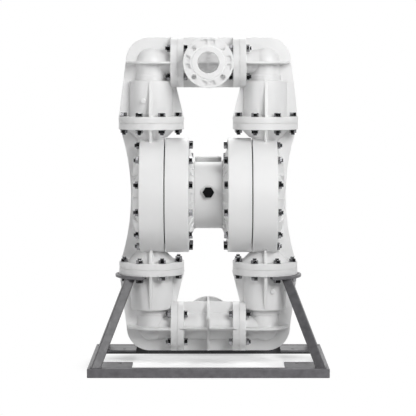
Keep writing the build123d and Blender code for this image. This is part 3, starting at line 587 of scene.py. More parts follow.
def elbow_run_outline(s):
    """Pipe and flange from the corner to the tee, about the manifold's axis"""
    t = s.flange_thickness
    inner_end = s.manifold_seam - s.port_offset + 0.010
    return rounded([
        (0, inner_end),
        (s.pipe, inner_end),
        (s.pipe, -t, 0.004),
        (s.pipe_flange, -t, 0.002),
        (s.pipe_flange, 0, 0.002),
        (0, 0),
    ])


def elbow_web(s, seam, top):
    """The upright web in the middle plane, round at its outer corner"""
    outer_foot, outer_head, inner_foot, inner_head = -0.345, -0.316, -0.092, -0.122
    corner = 0.089
    end = -s.manifold_seam - s.flange_thickness / 2
    foot = seam + s.flange_thickness / 2
    rim = top + s.pipe_flange
    low_rim = rim - 2 * s.pipe_flange
    outline = [(end, rim)] + arc((outer_head + corner, rim - corner), corner, 90, 180, 20)
    return outline + [(outer_foot, foot), (inner_foot, foot), (inner_head, low_rim), (end, low_rim)]


def elbow_shelf(s):
    """The flat web at the manifold's height, round over the riser"""
    end = -s.manifold_seam - s.flange_thickness / 2
    rim = s.pipe_flange
    return arc((-s.port_offset, 0), rim, 90, 270, 32) + [(end, -rim), (end, rim)]


def make_elbow(s):
    """The upper left elbow, bored from the bell to the tee, with its webs, fin and boss"""
    x = -s.port_offset
    seam = s.shaft_height + s.port_reach
    top = s.shaft_height + s.manifold_reach
    t = s.flange_thickness
    shoulder = s.bell_height
    fin_half, bell_bore, bell_roof = 0.118, 0.060, 0.014
    boss = (x - 0.028, 0, seam + 0.084)
    fin = [(-fin_half, t / 2), (fin_half, t / 2), (fin_half, t), (s.bell, shoulder), (-s.bell, shoulder)]
    fin.append((-fin_half, t))
    solids = [
        lathe(elbow_outline(s, top - seam), origin=(x, 0, seam)),
        lathe(elbow_run_outline(s), FACING_RIGHT, (-s.manifold_seam, 0, top)),
        slab(elbow_web(s, seam, top), s.web, FACING_FRONT),
        slab(elbow_shelf(s), s.shelf, UPRIGHT, (0, 0, top)),
        slab(fin, s.fin, FACING_RIGHT, (x, 0, seam)),
        disc(0.010, 0.055, 0.0885, FACING_FRONT, boss, edge=0.003, steps=32),
    ]
    cavity = [(0, -0.01), (bell_bore, -0.01), (bell_bore, shoulder - bell_roof), (0, shoulder - bell_roof)]
    cuts = [
        lathe(cavity, origin=(x, 0, seam)),
        pipe(bore_path(s, seam + shoulder - 0.02, -s.manifold_seam + 0.01)),
    ]
    return cast("outlet_elbow_left_shell", solids, cuts)


class PUMP_OT_elbows(bpy.types.Operator):
    """Make the four identical elbows"""

    bl_idname = "pump.elbows"
    bl_label = "Elbows"

    def execute(self, context):
        s = context.scene.pump_sizes
        first = make_elbow(s)
        turns = {
            "outlet_elbow_right": half_turn("Z"),
            "inlet_elbow_left": half_turn("X", s.shaft_height),
            "inlet_elbow_right": half_turn("Y", s.shaft_height),
        }
        for node, turn in turns.items():
            dress(turned_copy(first, f"{node}_shell", turn), "white_polypropylene", node)
        dress(first, "white_polypropylene", "outlet_elbow_left")
        return {"FINISHED"}


def pocket(angle, face):
    """A cutter for one curved pocket in the branch flange's face, at an angle in degrees"""
    inner, outer, span, depth = 0.070, 0.087, 15, 0.009
    outline = arc((0, 0), outer, angle - span / 2, angle + span / 2, 6)
    outline += arc((0, 0), inner, angle + span / 2, angle - span / 2, 6)
    return slab(outline, 2 * depth, FACING_FRONT, face, rim=0.0)


def tee_run_outline(s):
    """The pipe between the two elbows with a flange at each end, about the manifold's axis"""
    seam = s.manifold_seam
    half = seam - s.flange_thickness
    barrel = s.pipe + 0.002
    return rounded([
        (0, -seam),
        (s.pipe_flange, -seam, 0.002),
        (s.pipe_flange, -half, 0.002),
        (barrel, -half, 0.006),
        (barrel, half, 0.006),
        (s.pipe_flange, half, 0.002),
        (s.pipe_flange, seam, 0.002),
        (0, seam),
    ])


def tee_branch_outline(s):
    """The branch and its flange with a raised ring on the face, about the branch's axis"""
    reach = s.branch_reach
    barrel = s.pipe + 0.002
    face = reach - 0.002
    return rounded([
        (0, 0),
        (barrel, 0),
        (barrel, reach - s.flange_thickness, 0.006),
        (s.pipe_flange, reach - s.flange_thickness, 0.002),
        (s.pipe_flange, face, 0.0025),
        (0.062, face, 0.001),
        (0.0605, reach, 0.001),
        (0.0, reach),
    ])


def tee_webs(s, middle):
    """The upright and flat webs along the run, and the two along the branch"""
    rim = s.pipe_flange
    inner = s.manifold_seam - s.flange_thickness / 2
    branch_end = -s.branch_reach + s.flange_thickness / 2
    along = rectangle(-inner, -rim, inner, rim)
    front = rectangle(-rim, branch_end, rim, 0)
    cross = [(branch_end, -rim)] + arc((0, 0), rim, -90, 90, 40) + [(branch_end, rim)]
    return [
        slab(along, s.web, FACING_FRONT, middle),
        slab(along, s.shelf, UPRIGHT, middle),
        slab(front, s.shelf, UPRIGHT, middle, rim=0.0),
        slab(cross, s.web - 0.001, FACING_RIGHT, middle),
    ]


def tee_cuts(s, middle):
    """The two bores, and the branch flange's holes and ring of pockets"""
    reach = s.branch_reach
    end = s.manifold_seam + 0.01
    run_bore = [(0, -end), (s.bore, -end), (s.bore, end), (0, end)]
    mouth, past = s.bore + 0.004, reach + 0.002
    branch_bore = rounded([(0, 0), (s.bore, 0), (s.bore, reach, 0.0015), (mouth, past), (0, past)])
    cuts = [lathe(run_bore, FACING_RIGHT, middle), lathe(branch_bore, FACING_FRONT, middle)]
    face = (0, -reach + 0.002, middle[2])
    hole_radius, pocket_side = 0.009525, 11
    for n in range(4):
        angle = radians(45 + 90 * n)
        across, up = s.pipe_bolt_circle * cos(angle), s.pipe_bolt_circle * sin(angle)
        spot = (across, -reach, middle[2] + up)
        cuts.append(disc(hole_radius, -0.01, 0.035, FACING_REAR, spot, edge=0.0, steps=32))
        for side in (-pocket_side, pocket_side):
            cuts.append(pocket(90 * n + side, face))
    return cuts


def make_tee(s):
    """The outlet tee, its branch towards the front"""
    middle = (0, 0, s.shaft_height + s.manifold_reach)
    solids = [
        lathe(tee_run_outline(s), FACING_RIGHT, middle),
        lathe(tee_branch_outline(s), FACING_FRONT, middle),
    ]
    return cast("outlet_tee_shell", solids + tee_webs(s, middle), tee_cuts(s, middle))


def paint_light_in_bores(piece, s, height):
    """Paints light on the walls of a tee's bores: they take a whiter copy of the plastic that lets light
    through from far deeper than the mouldings do
    """
    piece.data.materials.append(bpy.data.materials["lit_bore_finish"])
    edge = s.bore + 0.0005
    for face in piece.data.polygons:
        x, y, z = face.center
        up = z - height
        in_bore = hypot(y, up) < edge or (hypot(x, up) < edge and abs(y) < s.branch_reach - 0.004)
        face.material_index = int(in_bore)


class PUMP_OT_tees(bpy.types.Operator):
    """Make the outlet tee and the inlet tee"""

    bl_idname = "pump.tees"
    bl_label = "Tees"

    def execute(self, context):
        s = context.scene.pump_sizes
        outlet = make_tee(s)
        inlet = turned_copy(outlet, "inlet_tee_shell", half_turn("X", s.shaft_height))
        for piece, (name, level) in zip((outlet, inlet), LEVELS):
            dress(piece, "white_polypropylene", f"{name}_tee")
            paint_light_in_bores(piece, s, s.shaft_height + level * s.manifold_reach)
        return {"FINISHED"}


def liquid_drum_outline(s, face):
    """Drum and dome with the chamber's hollow in the inboard side, about the shaft's axis"""
    return rounded([
        (0, 0.290),
        (0.070, 0.290, 0.010),
        (0.130, 0.286, 0.030),
        (0.176, 0.270, 0.012),
        (0.184, s.liquid_rim, 0.004),
        (s.drum, s.liquid_rim, 0.006),
        (s.drum, face, 0.0025),
        (0.165, face, 0.002),
        (0.150, 0.235, 0.030),
        (0.090, 0.256, 0.020),
        (0, 0.256),
    ], 6)


def chamber_neck_outline(s, flange_low):
    """Neck and port flange, about the port's axis"""
    duct = 0.052
    return rounded([
        (0, 0.120),
        (duct, 0.120),
        (duct, 0.214, 0.008),
        (0.093, flange_low, 0.003),
        (s.port_flange, flange_low, 0.0022),
        (s.port_flange, s.port_reach, 0.0022),
        (0, s.port_reach),
    ])


def chamber_web(s, flange_low):
    """The upright web, with its long hollow curve on the outboard edge"""
    waist, foot = 0.298, 0.338
    end = flange_low + 0.01
    hollow = foot - waist
    radius = (flange_low**2 + hollow**2) / (2 * hollow)
    spread = degrees(asin(flange_low / radius))
    edge = arc((waist + radius, 0), radius, 180 - spread, 180 + spread, 36)
    return [(s.port_offset, end), (foot, end)] + edge + [(foot, -end), (s.port_offset, -end)]


def chamber_fin(s, flange_low):
    """The fin across the neck, which narrows to the drum"""
    half = 0.118
    end = flange_low + 0.01
    foot = flange_low - 0.048
    drum_half = sqrt(s.drum**2 - foot**2)
    narrow = [(half, flange_low), (drum_half, foot), (-drum_half, foot), (-half, flange_low)]
    return [(-half, end), (half, end)] + narrow


def make_liquid_chamber(s):
    """The right liquid chamber: drum and dome, necks, webs, fins and ribs"""
    face = s.split + 0.002
    flange_low = s.port_reach - s.flange_thickness
    middle = (0, 0, s.shaft_height)
    port = (s.port_offset, 0, s.shaft_height)
    neck = chamber_neck_outline(s, flange_low)
    fin = chamber_fin(s, flange_low)
    low_fin = [(across, -up) for across, up in reversed(fin)]
    rib = rounded([
        (0.250, 0.060),
        (0.250, 0.186),
        (0.264, 0.186, 0.004),
        (0.285, 0.172, 0.010),
        (0.292, 0.060),
    ])
    solids = [
        lathe(liquid_drum_outline(s, face), FACING_RIGHT, middle, DRUM_STEPS),
        lathe(neck, UPRIGHT, port),
        lathe(neck, UPSIDE_DOWN, port),
        slab(chamber_web(s, flange_low), 0.012, FACING_FRONT, middle, rim=0.002),
        slab(fin, s.fin, FACING_RIGHT, port),
        slab(low_fin, s.fin, FACING_RIGHT, port),
    ]
    for n in range(12):
        if n not in (0, 6):
            turn = Matrix.Rotation(radians(30 * n), 4, "X") @ FACING_FRONT
            solids.append(slab(rib, 0.008, turn, middle))
    past_drum = s.drum + 0.004
    air_side = [(0, s.air_rim), (past_drum, s.air_rim), (past_drum, face - 0.0001), (0, face - 0.0001)]
    duct_bore, duct_half = 0.043, 0.30
    duct = [(0, -duct_half), (duct_bore, -duct_half), (duct_bore, duct_half), (0, duct_half)]
    cuts = [lathe(air_side, FACING_RIGHT, middle, DRUM_STEPS), lathe(duct, UPRIGHT, port)]
    return cast("liquid_chamber_right_shell", solids, cuts)


def make_air_chamber(s):
    """The right air chamber: drum with a ribbed back"""
    middle = (0, 0, s.shaft_height)
    face = s.split - 0.002
    back_floor, shaft_hole, back_edge = 0.065, 0.0165, 0.184
    section = rounded([
        (0.165, face, 0.002),
        (s.drum, face, 0.0025),
        (s.drum, s.air_rim, 0.006),
        (back_edge, s.air_rim, 0.003),
        (0.140, back_floor, 0.006),
        (s.barrel, s.barrel_half, 0.003),
        (shaft_hole, s.barrel_half),
        (shaft_hole, back_floor),
        (0.118, back_floor, 0.010),
        (0.165, 0.140, 0.010),
    ], 5)
    sunk = s.air_rim + 0.01
    rib = [
        (s.barrel_half, 0.120),
        (s.barrel_half, 0.128),
        (s.air_rim, back_edge),
        (sunk, back_edge),
        (sunk, 0.120),
    ]
    solids = [lathe(section, FACING_RIGHT, middle, DRUM_STEPS, loop=True)]
    for n in range(24):
        turn = Matrix.Rotation(radians(15 * (n + 0.5)), 4, "X") @ FACING_FRONT
        solids.append(slab(rib, 0.007, turn, middle, rim=0.001))
    pilot_axis = (0, 0, s.shaft_height + PILOT_RISE)
    pilot_hole = disc(0.009, 0.04, 0.10, FACING_RIGHT, pilot_axis, edge=0.0, steps=32)
    return cast("air_chamber_right_shell", solids, [pilot_hole])


class PUMP_OT_chambers(bpy.types.Operator):
    """Make the liquid chambers and the air chambers"""

    bl_idname = "pump.chambers"
    bl_label = "Chambers"

    def execute(self, context):
        s = context.scene.pump_sizes
        for kind, make in (("liquid_chamber", make_liquid_chamber), ("air_chamber", make_air_chamber)):
            right = make(s)
            left = turned_copy(right, f"{kind}_left_shell", half_turn("Z"))
            dress(right, "white_polypropylene", f"{kind}_right")
            dress(left, "white_polypropylene", f"{kind}_left")
        return {"FINISHED"}


def make_center_shell(s):
    """The centre section: barrel, rear pad for the air valve and front boss for the plug"""
    middle = (0, 0, s.shaft_height)
    plug_spot = (0, 0, s.shaft_height + PLUG_RISE)
    half = s.barrel_half
    hole, lip = 0.023, s.barrel + 0.002
    inner = half - 0.004
    barrel = rounded([
        (hole, -half),
        (lip, -half, 0.001),
        (lip, -inner, 0.001),
        (s.barrel, -inner),
        (s.barrel, inner),
        (lip, inner, 0.001),
        (lip, half, 0.001),
        (hole, half),
    ])
    pad = rectangle(-VALVE_HALF_WIDTH, -VALVE_HALF_HEIGHT, VALVE_HALF_WIDTH, VALVE_HALF_HEIGHT)
    sleeve_hole = [(0, -0.06), (0.013, -0.06), (0.013, 0.06), (0, 0.06)]
    solids = [
        lathe(barrel, FACING_RIGHT, middle, DRUM_STEPS, loop=True),
        slab(pad, 0.080, FACING_FRONT, (0, 0.092, s.shaft_height)),
        disc(0.0285, 0.100, PLUG_SEAT, FACING_FRONT, plug_spot, edge=0.0006, steps=64),
    ]
    cuts = [
        disc(0.0142, 0.100, 0.140, FACING_FRONT, plug_spot, edge=0.0, steps=48),
        lathe(sleeve_hole, FACING_RIGHT, (0, 0, s.shaft_height + PILOT_RISE)),
    ]
    return cast("center_section_shell", solids, cuts)


def make_plug(s):
    """The hexagon plug and its shank in the front boss"""
    place = Matrix.Translation((0, -PLUG_SEAT, s.shaft_height + PLUG_RISE)) @ FACING_FRONT
    head = hexagon(0.038, 0.012, 0.0016)
    shank = lathe(rounded([(0, -0.022), (0.0135, -0.022, 0.002), (0.0135, 0.004), (0, 0.004)]))
    return gathered("center_plug_hexagon", [(head, place), (shank, place)])


class PUMP_OT_center_section(bpy.types.Operator):
    """Make the centre section and its hexagon plug"""

    bl_idname = "pump.center_section"
    bl_label = "Centre section"

    def execute(self, context):
        s = context.scene.pump_sizes
        # The centre section takes the darker plastic copy: partly its own greyer tone, partly painted shade.
        dress(make_center_shell(s), "white_polypropylene", "center_section", finish="center_section")
        dress(make_plug(s), "black_plug", "center_plug")
        return {"FINISHED"}


# Bolts


def hexagon(flats, height, chamfer):
    """A hexagon head that stands on its seat, flats along the first axis"""
    bm = bmesh.new()
    reach = flats / sqrt(3)
    angles = [radians(60 * n) for n in range(6)]
    face = bm.faces.new([bm.verts.new((reach * cos(a), reach * sin(a), 0)) for a in angles])
    lifted = bmesh.ops.extrude_face_region(bm, geom=[face])["geom"]
    upper = [part for part in lifted if isinstance(part, bmesh.types.BMVert)]
    bmesh.ops.translate(bm, vec=(0, 0, height), verts=upper)
    bmesh.ops.recalc_face_normals(bm, faces=bm.faces)
    edges = [e for e in bm.edges if min(v.co.z for v in e.verts) > height / 2]
    bmesh.ops.bevel(bm, geom=edges, offset=chamfer, segments=2, profile=0.5, affect="EDGES")
    return solid(bm, UPRIGHT)


def washer(s):
    """A plain washer"""
    return disc(s.hexagon * 0.62, 0, WASHER_THICKNESS, edge=0.0005, steps=36)


def bolt_head(s):
    """Washer and hexagon head"""
    head = hexagon(s.hexagon, 0.0125, 0.0018)
    return [(washer(s), UPRIGHT), (head, Matrix.Translation((0, 0, WASHER_THICKNESS)))]


def bolt_nut(s):
    """Washer, nut and the bolt's threaded end"""
    nut = hexagon(s.hexagon, 0.0105, 0.0016)
    thread = s.hexagon * 0.33
    start, pitch, turns = 0.010, 0.0020, 5
    end = start + turns * pitch
    ridges = [(0, start)]
    for n in range(turns):
        ridges += [(thread, start + n * pitch), (thread * 0.88, start + (n + 0.5) * pitch)]
    ridges += [(thread * 0.85, end), (0, end)]
    return [
        (washer(s), UPRIGHT),
        (nut, Matrix.Translation((0, 0, WASHER_THICKNESS))),
        (lathe(ridges, steps=24), UPRIGHT),
    ]


def bolted(name, seats):
    """One object of bolts, from (parts, seat matrix) pairs"""
    return gathered(name, [(part, seat @ matrix) for parts, seat in seats for part, matrix in parts])


def seat(position, turn, spin=0.0):
    """Where a bolt stands: its place, the way it faces and its turn about itself"""
    return Matrix.Translation(position) @ turn @ Matrix.Rotation(radians(spin), 4, "Z")


class PUMP_OT_bolts(bpy.types.Operator):
    """Make the chamber, port and manifold bolts"""

    bl_idname = "pump.bolts"
    bl_label = "Bolts"

    def execute(self, context):
        s = context.scene.pump_sizes
        head = bolt_head(s)
        nut = bolt_nut(s)
        self.chamber_bolts(s, head, nut)
        self.port_bolts(s, head, nut)
        self.manifold_bolts(s, head, nut)
        return {"FINISHED"}

    def chamber_bolts(self, s, head, nut):
        for side, name, out, back in SIDES:
            seats = []
            for n in range(12):
                angle = radians(15 + 30 * n)
                y = s.chamber_bolt_circle * cos(angle)
                z = s.shaft_height + s.chamber_bolt_circle * sin(angle)
                spin = 17 * n
                seats.append((nut, seat((side * s.liquid_rim, y, z), out, spin)))
                seats.append((head, seat((side * s.air_rim, y, z), back, spin + 11)))
            node = f"chamber_bolts_{name}"
            dress(bolted(f"{node}_set", seats), "bolt_steel", node)

    def port_bolts(self, s, head, nut):
        for name, level in LEVELS:
            seam = s.shaft_height + level * s.port_reach
            above, below = (head, nut) if level > 0 else (nut, head)
            seats = []
            for side in (-1, 1):
                for n in range(8):
                    angle = radians(22.5 + 45 * n)
                    x = side * (s.port_offset + s.port_bolt_circle * cos(angle))
                    y = s.port_bolt_circle * sin(angle)
                    on_support = level < 0 and cos(angle) > 0
                    low = seam - s.flange_thickness - (SUPPORT_THICKNESS if on_support else 0.0)
                    seats.append((above, seat((x, y, seam + s.flange_thickness), UPRIGHT, 13 * n)))
                    seats.append((below, seat((x, y, low), UPSIDE_DOWN, 19 * n)))
            node = f"{name}_port_bolts"
            dress(bolted(f"{node}_set", seats), "bolt_steel", node)

    def manifold_bolts(self, s, head, nut):
        outer = s.manifold_seam + s.flange_thickness
        inner = s.manifold_seam - s.flange_thickness
        for name, level in LEVELS:
            height = s.shaft_height + level * s.manifold_reach
            seats = []
            for side, _, out, back in SIDES:
                for n in range(4):
                    angle = radians(45 + 90 * n)
                    y = s.pipe_bolt_circle * cos(angle)
                    z = height + s.pipe_bolt_circle * sin(angle)
                    seats.append((nut, seat((side * outer, y, z), out, 23 * n)))
                    seats.append((head, seat((side * inner, y, z), back, 7 * n)))
            node = f"{name}_manifold_bolts"
            dress(bolted(f"{node}_set", seats), "bolt_steel", node)


# The air valve


class PUMP_OT_air_valve(bpy.types.Operator):
    """Make the air valve behind the centre section, with its caps, screws, muffler and gasket"""

    bl_idname = "pump.air_valve"
    bl_label = "Air valve"

    def execute(self, context):
        height = context.scene.pump_sizes.shaft_height
        self.body(height)
        for turn, side, name in ((UPRIGHT, 1, "upper"), (UPSIDE_DOWN, -1, "lower")):
            end = Matrix.Translation((0, SPOOL_AXIS, height + side * VALVE_HALF_HEIGHT)) @ turn
            self.cap(end, name)
        self.muffler(height)
        self.gasket(height)
        return {"FINISHED"}

    def body(self, height):
        block = rounded([
            (-VALVE_HALF_WIDTH, VALVE_FRONT, 0.001),
            (VALVE_HALF_WIDTH, VALVE_FRONT, 0.001),
            (VALVE_HALF_WIDTH, VALVE_BACK, 0.014),
            (-VALVE_HALF_WIDTH, VALVE_BACK, 0.014),
        ], 6)
        rib_half, proud = 0.050, 0.004
        rib = rectangle(-rib_half, VALVE_FRONT + proud, rib_half, VALVE_BACK + proud)
        inlet = (0, VALVE_BACK, height + VALVE_PORT_RISE)
        exhaust = (0, VALVE_BACK, height - VALVE_PORT_RISE)
        spool_end = VALVE_HALF_HEIGHT + 0.01
        solids = [slab(block, 2 * VALVE_HALF_HEIGHT, UPRIGHT, (0, 0, height), rim=0.002)]
        for rise in (-0.105, -0.020, 0.020, 0.105):
            solids.append(slab(rib, 0.006, UPRIGHT, (0, 0, height + rise), rim=0.001))
        solids.append(disc(0.024, -0.020, 0.008, FACING_REAR, inlet, edge=0.002, steps=48))
        solids.append(disc(0.020, -0.020, 0.006, FACING_REAR, exhaust, edge=0.002, steps=48))
        cuts = [
            disc(0.012, -0.010, 0.020, FACING_REAR, inlet, edge=0.0, steps=40),
            disc(0.02405, -spool_end, spool_end, UPRIGHT, (0, SPOOL_AXIS, height), edge=0.0, steps=64),
        ]
        dress(cast("air_valve_body_shell", solids, cuts), "valve_casting", "air_valve_body")

    def cap(self, end, name):
        half_depth, corner, thickness = 0.033, 0.012, 0.020
        flat = rectangle(-VALVE_HALF_WIDTH, -half_depth, VALVE_HALF_WIDTH, half_depth)
        plate = rounded([(x, y, corner) for x, y in flat], 6)
        cap = slab(plate, thickness, end @ Matrix.Translation((0, 0, thickness / 2)), rim=0.002)
        seats = [end @ Matrix.Translation((x, y, 0.012)) for x in (-0.041, 0.041) for y in (-0.022, 0.022)]
        recesses = [disc(0.0085, 0, 0.02, spot, edge=0.0, steps=32) for spot in seats]
        dress(cast(f"air_valve_{name}_cap", [cap], recesses), "valve_casting", "air_valve_end_caps")
        head_height = 0.0075
        key = arc((0, 0), 0.0036, 0, 300, 5)
        heads = [disc(0.0065, 0, head_height, spot, edge=0.0008, steps=32) for spot in seats]
        on_head = Matrix.Translation((0, 0, head_height))
        sockets = [slab(key, 0.008, spot @ on_head, rim=0.0) for spot in seats]
        dress(cast(f"air_valve_{name}_screws", heads, sockets), "bolt_steel", "air_valve_screws")

    def muffler(self, height):
        neck, shell, groove = 0.014, 0.030, 0.0275
        outline = [(0, 0), (neck, 0), (neck, 0.012), (0.029, 0.012, 0.002), (shell, 0.016, 0.001)]
        for n in range(6):
            start = 0.020 + n * 0.007
            outline += [(shell, start), (groove, start + 0.0015)]
            outline += [(groove, start + 0.0035), (shell, start + 0.005)]
        outline += [(shell, 0.066, 0.003), (0.022, 0.070, 0.002), (0, 0.070)]
        body = lathe(rounded(outline), FACING_REAR, (0, VALVE_BACK, height - VALVE_PORT_RISE), steps=64)
        dress(gathered("exhaust_muffler_body", [(body, UPRIGHT)]), "muffler_plastic", "exhaust_muffler")

    def gasket(self, height):
        thickness, margin = 0.003, 0.0005
        half_width, half_height = VALVE_HALF_WIDTH - margin, VALVE_HALF_HEIGHT - margin
        outline = rectangle(-half_width, -half_height, half_width, half_height)
        sheet = slab(outline, thickness, FACING_FRONT, (0, VALVE_FRONT - thickness / 2, height), rim=0.0005)
        dress(gathered("air_valve_gasket_sheet", [(sheet, UPRIGHT)]), "black_rubber", "air_valve_gasket")


# Stand


def tube_outline(width, corner=0.0035):
    """Section of the square tube"""
    half = width / 2
    return rounded([(x, y, corner) for x, y in rectangle(-half, -half, half, half)])


def bar_between(lower, upper):
    """A straight bar between two rings of points"""
    bm = bmesh.new()
    start = [bm.verts.new(point) for point in lower]
    end = [bm.verts.new(point) for point in upper]
    bm.faces.new(start)
    bm.faces.new(end)
    for n in range(len(start)):
        after = (n + 1) % len(start)
        bm.faces.new((start[n], start[after], end[after], end[n]))
    return solid(bm, UPRIGHT)


def bead(corners, radius, ripple=0.25, step=0.0022, sides=10):
    """A weld bead round a closed run of corners"""
    bm = bmesh.new()
    up = Vector((0, 0, 1))
    spots = []
    for start, end in zip(corners, corners[1:] + corners[:1]):
        count = max(int((end - start).length / step), 1)
        spots += [start.lerp(end, n / count) for n in range(count)]
    rings = []
    for index, spot in enumerate(spots):
        along = (spots[(index + 1) % len(spots)] - spots[index - 1]).normalized()
        side = along.cross(up).normalized()
        swell = radius * (1 + ripple * sin(index * 1.9))
        angles = [2 * pi * n / sides for n in range(sides)]
        rings.append([bm.verts.new(spot + swell * (cos(a) * side + sin(a) * up)) for a in angles])
    for index, ring in enumerate(rings):
        following = rings[(index + 1) % len(rings)]
        for n in range(sides):
            after = (n + 1) % sides
            bm.faces.new((ring[n], ring[after], following[after], following[n]))
    return solid(bm, UPRIGHT)


def make_rail(half_length, half_reach, tube):
    """One base rail with mitred ends, along the front"""
    gap = 0.0004
    section = [(y - half_reach + tube / 2, z + tube / 2) for y, z in tube_outline(tube)]
    left, right = [
        [Vector((side * (half_length - (y + half_reach) - gap), y, z)) for y, z in section]
        for side in (-1, 1)
    ]
    return bar_between(left, right)


def make_leg(s, x_side, y_side, plate_low, name):
    """A tube on edge, from a corner of the base up to a support plate, with its weld beads"""
    foot_x, foot_y, head_radius = 0.421, 0.262, 0.114
    foot = Vector((x_side * foot_x, y_side * foot_y, s.tube))
    spread = head_radius * sqrt(0.5)
    head = Vector((x_side * (s.port_offset + spread), y_side * spread, plate_low))
    lean = (head - foot).normalized()
    across = Vector((0, 0, 1)).cross(lean).normalized()
    depth = lean.cross(across)
    eighth = radians(45)
    edges = []
    for u, v in tube_outline(s.tube):
        a = u * cos(eighth) - v * sin(eighth)
        b = u * sin(eighth) + v * cos(eighth)
        edges.append(foot + a * across + b * depth)

    def cut(level):
        return [edge + lean * ((level - edge.z) / lean.z) for edge in edges]

    low, high = cut(s.tube), cut(plate_low)
    under = [corner - Vector((0, 0, 0.001)) for corner in high]
    parts = [bar_between(low, high), bead(low, 0.0026), bead(under, 0.0022)]
    return gathered(name, [(part, UPRIGHT) for part in parts])


def make_support(s, side, plate_low, name):
    """A half ring under a lower port flange, with a slot for the elbow's web"""
    span, outer_radius, inner_radius = 79, 0.140, 0.088
    slot_half, slot_end = 0.007, 0.132
    outer = arc((0, 0), outer_radius, -span, span, 56)
    inner = [(x, y) for x, y in arc((0, 0), inner_radius, span, -span, 40) if abs(y) > 0.008]
    upper = [point for point in inner if point[1] > 0]
    lower = [point for point in inner if point[1] < 0]
    slot = [(upper[-1][0], slot_half), (slot_end, slot_half)]
    slot += [(slot_end, -slot_half), (lower[0][0], -slot_half)]
    turn = UPRIGHT if side > 0 else Matrix.Rotation(pi, 4, "Z")
    middle = (side * s.port_offset, 0, plate_low + SUPPORT_THICKNESS / 2)
    plate = slab(outer + upper + slot + lower, SUPPORT_THICKNESS, turn, middle, rim=0.0012)
    return gathered(name, [(plate, UPRIGHT)])


class PUMP_OT_stand(bpy.types.Operator):
    """Make the stand: rails, legs, support plates and foot plates"""

    bl_idname = "pump.stand"
    bl_label = "Stand"

    def execute(self, context):
        s = context.scene.pump_sizes
        plate_low = s.shaft_height - s.port_reach - s.flange_thickness - SUPPORT_THICKNESS
        half_w, half_d = CAD_BOX[1].x, CAD_BOX[1].y
        self.rails(s, half_w, half_d)
        self.legs(s, plate_low)
        for side, name, _, _ in SIDES:
            node = f"support_plate_{name}"
            dress(make_support(s, side, plate_low, f"{node}_half_ring"), "stand_paint", node)
        self.feet(s, half_w, half_d)
        return {"FINISHED"}

    def rails(self, s, half_w, half_d):
        for name, half_length, reach, turn in (
            ("front", half_w, half_d, 0),
            ("rear", half_w, half_d, 180),
            ("right", half_d, half_w, 90),
            ("left", half_d, half_w, 270),
        ):
            place = Matrix.Rotation(radians(turn), 4, "Z")
            rail = gathered(f"base_rail_{name}_tube", [(make_rail(half_length, reach, s.tube), place)])
            # The rear rail takes the darkest copy of the stand's paint: painted shade.
            dress(rail, "stand_paint", f"base_rail_{name}", finish="rear_rail_painted_shade" if name == "rear" else None)

    def legs(self, s, plate_low):
        for y_name, y_side in (("front", -1), ("rear", 1)):
            for x_name, x_side in (("left", -1), ("right", 1)):
                node = f"leg_{y_name}_{x_name}"
                leg = make_leg(s, x_side, y_side, plate_low, f"{node}_tube")
                # The legs take a darker copy of the stand's paint: painted shade.
                dress(leg, "stand_paint", node, finish="leg_painted_shade")

    def feet(self, s, half_w, half_d):
        wide, deep, thick = 0.130, 0.123, 0.008
        anchor_x, anchor_y, anchor_radius = 0.334, 0.165, 0.007
        reach_x = half_w - s.tube - wide / 2
        reach_y = half_d - s.tube - deep / 2
        plate = rectangle(-wide / 2, -deep / 2, wide / 2, deep / 2)
        solids, holes = [], []
        for x_side in (-1, 1):
            for y_side in (-1, 1):
                middle = (x_side * reach_x, y_side * reach_y, s.tube - thick / 2)
                anchor = (x_side * anchor_x, y_side * anchor_y, s.tube)
                solids.append(slab(plate, thick, UPRIGHT, middle, rim=0.001))
                holes.append(disc(anchor_radius, -0.02, 0.02, UPRIGHT, anchor, edge=0.0, steps=32))
        dress(cast("foot_plate_set", solids, holes), "stand_paint", "foot_plates")


# Studio


def area_lamp(name, power, azimuth, height, distance):
    """A square soft lamp aimed at the pump's middle, angles in degrees from the front and up"""
    target = Vector((0, 0, 0.65))
    turn, climb = radians(azimuth), radians(height)
    towards = Vector((sin(turn) * cos(climb), -cos(turn) * cos(climb), sin(climb)))
    data = bpy.data.lights.new(name, "AREA")
    data.size = 2.0
    data.energy = power
    lamp = bpy.data.objects.new(name, data)
    lamp.location = target + distance * towards
    lamp.rotation_euler = (-towards).to_track_quat("-Z", "Y").to_euler()
    bpy.context.scene.collection.objects.link(lamp)


def soft_step(tree, value, low, high, start=0.0, end=1.0):
    """From start to end while the value goes from low to high"""
    step = tree.nodes.new("ShaderNodeMapRange")
    step.interpolation_type = "SMOOTHSTEP"
    step.inputs["From Min"].default_value = low
    step.inputs["From Max"].default_value = high
    step.inputs["To Min"].default_value = start
    step.inputs["To Max"].default_value = end
    tree.links.new(value, step.inputs["Value"])
    return step.outputs["Result"]


def larger(tree, first, second):
    """The larger of two values"""
    node = tree.nodes.new("ShaderNodeMath")
    node.operation = "MAXIMUM"
    tree.links.new(first, node.inputs[0])
    tree.links.new(second, node.inputs[1])
    return node.outputs[0]


def mixed(tree, factor, first, second):
    """From the first shader to the second"""
    mix = tree.nodes.new("ShaderNodeMixShader")
    tree.links.new(factor, mix.inputs["Fac"])
    tree.links.new(first, mix.inputs[1])
    tree.links.new(second, mix.inputs[2])
    return mix.outputs[0]


def seen_white(tree, rays):
    """A factor of 1 for rays from the camera, off glossy metal or through a clear piece"""
    first = larger(tree, rays.outputs["Is Camera Ray"], rays.outputs["Is Glossy Ray"])
    return larger(tree, first, rays.outputs["Is Transmission Ray"])


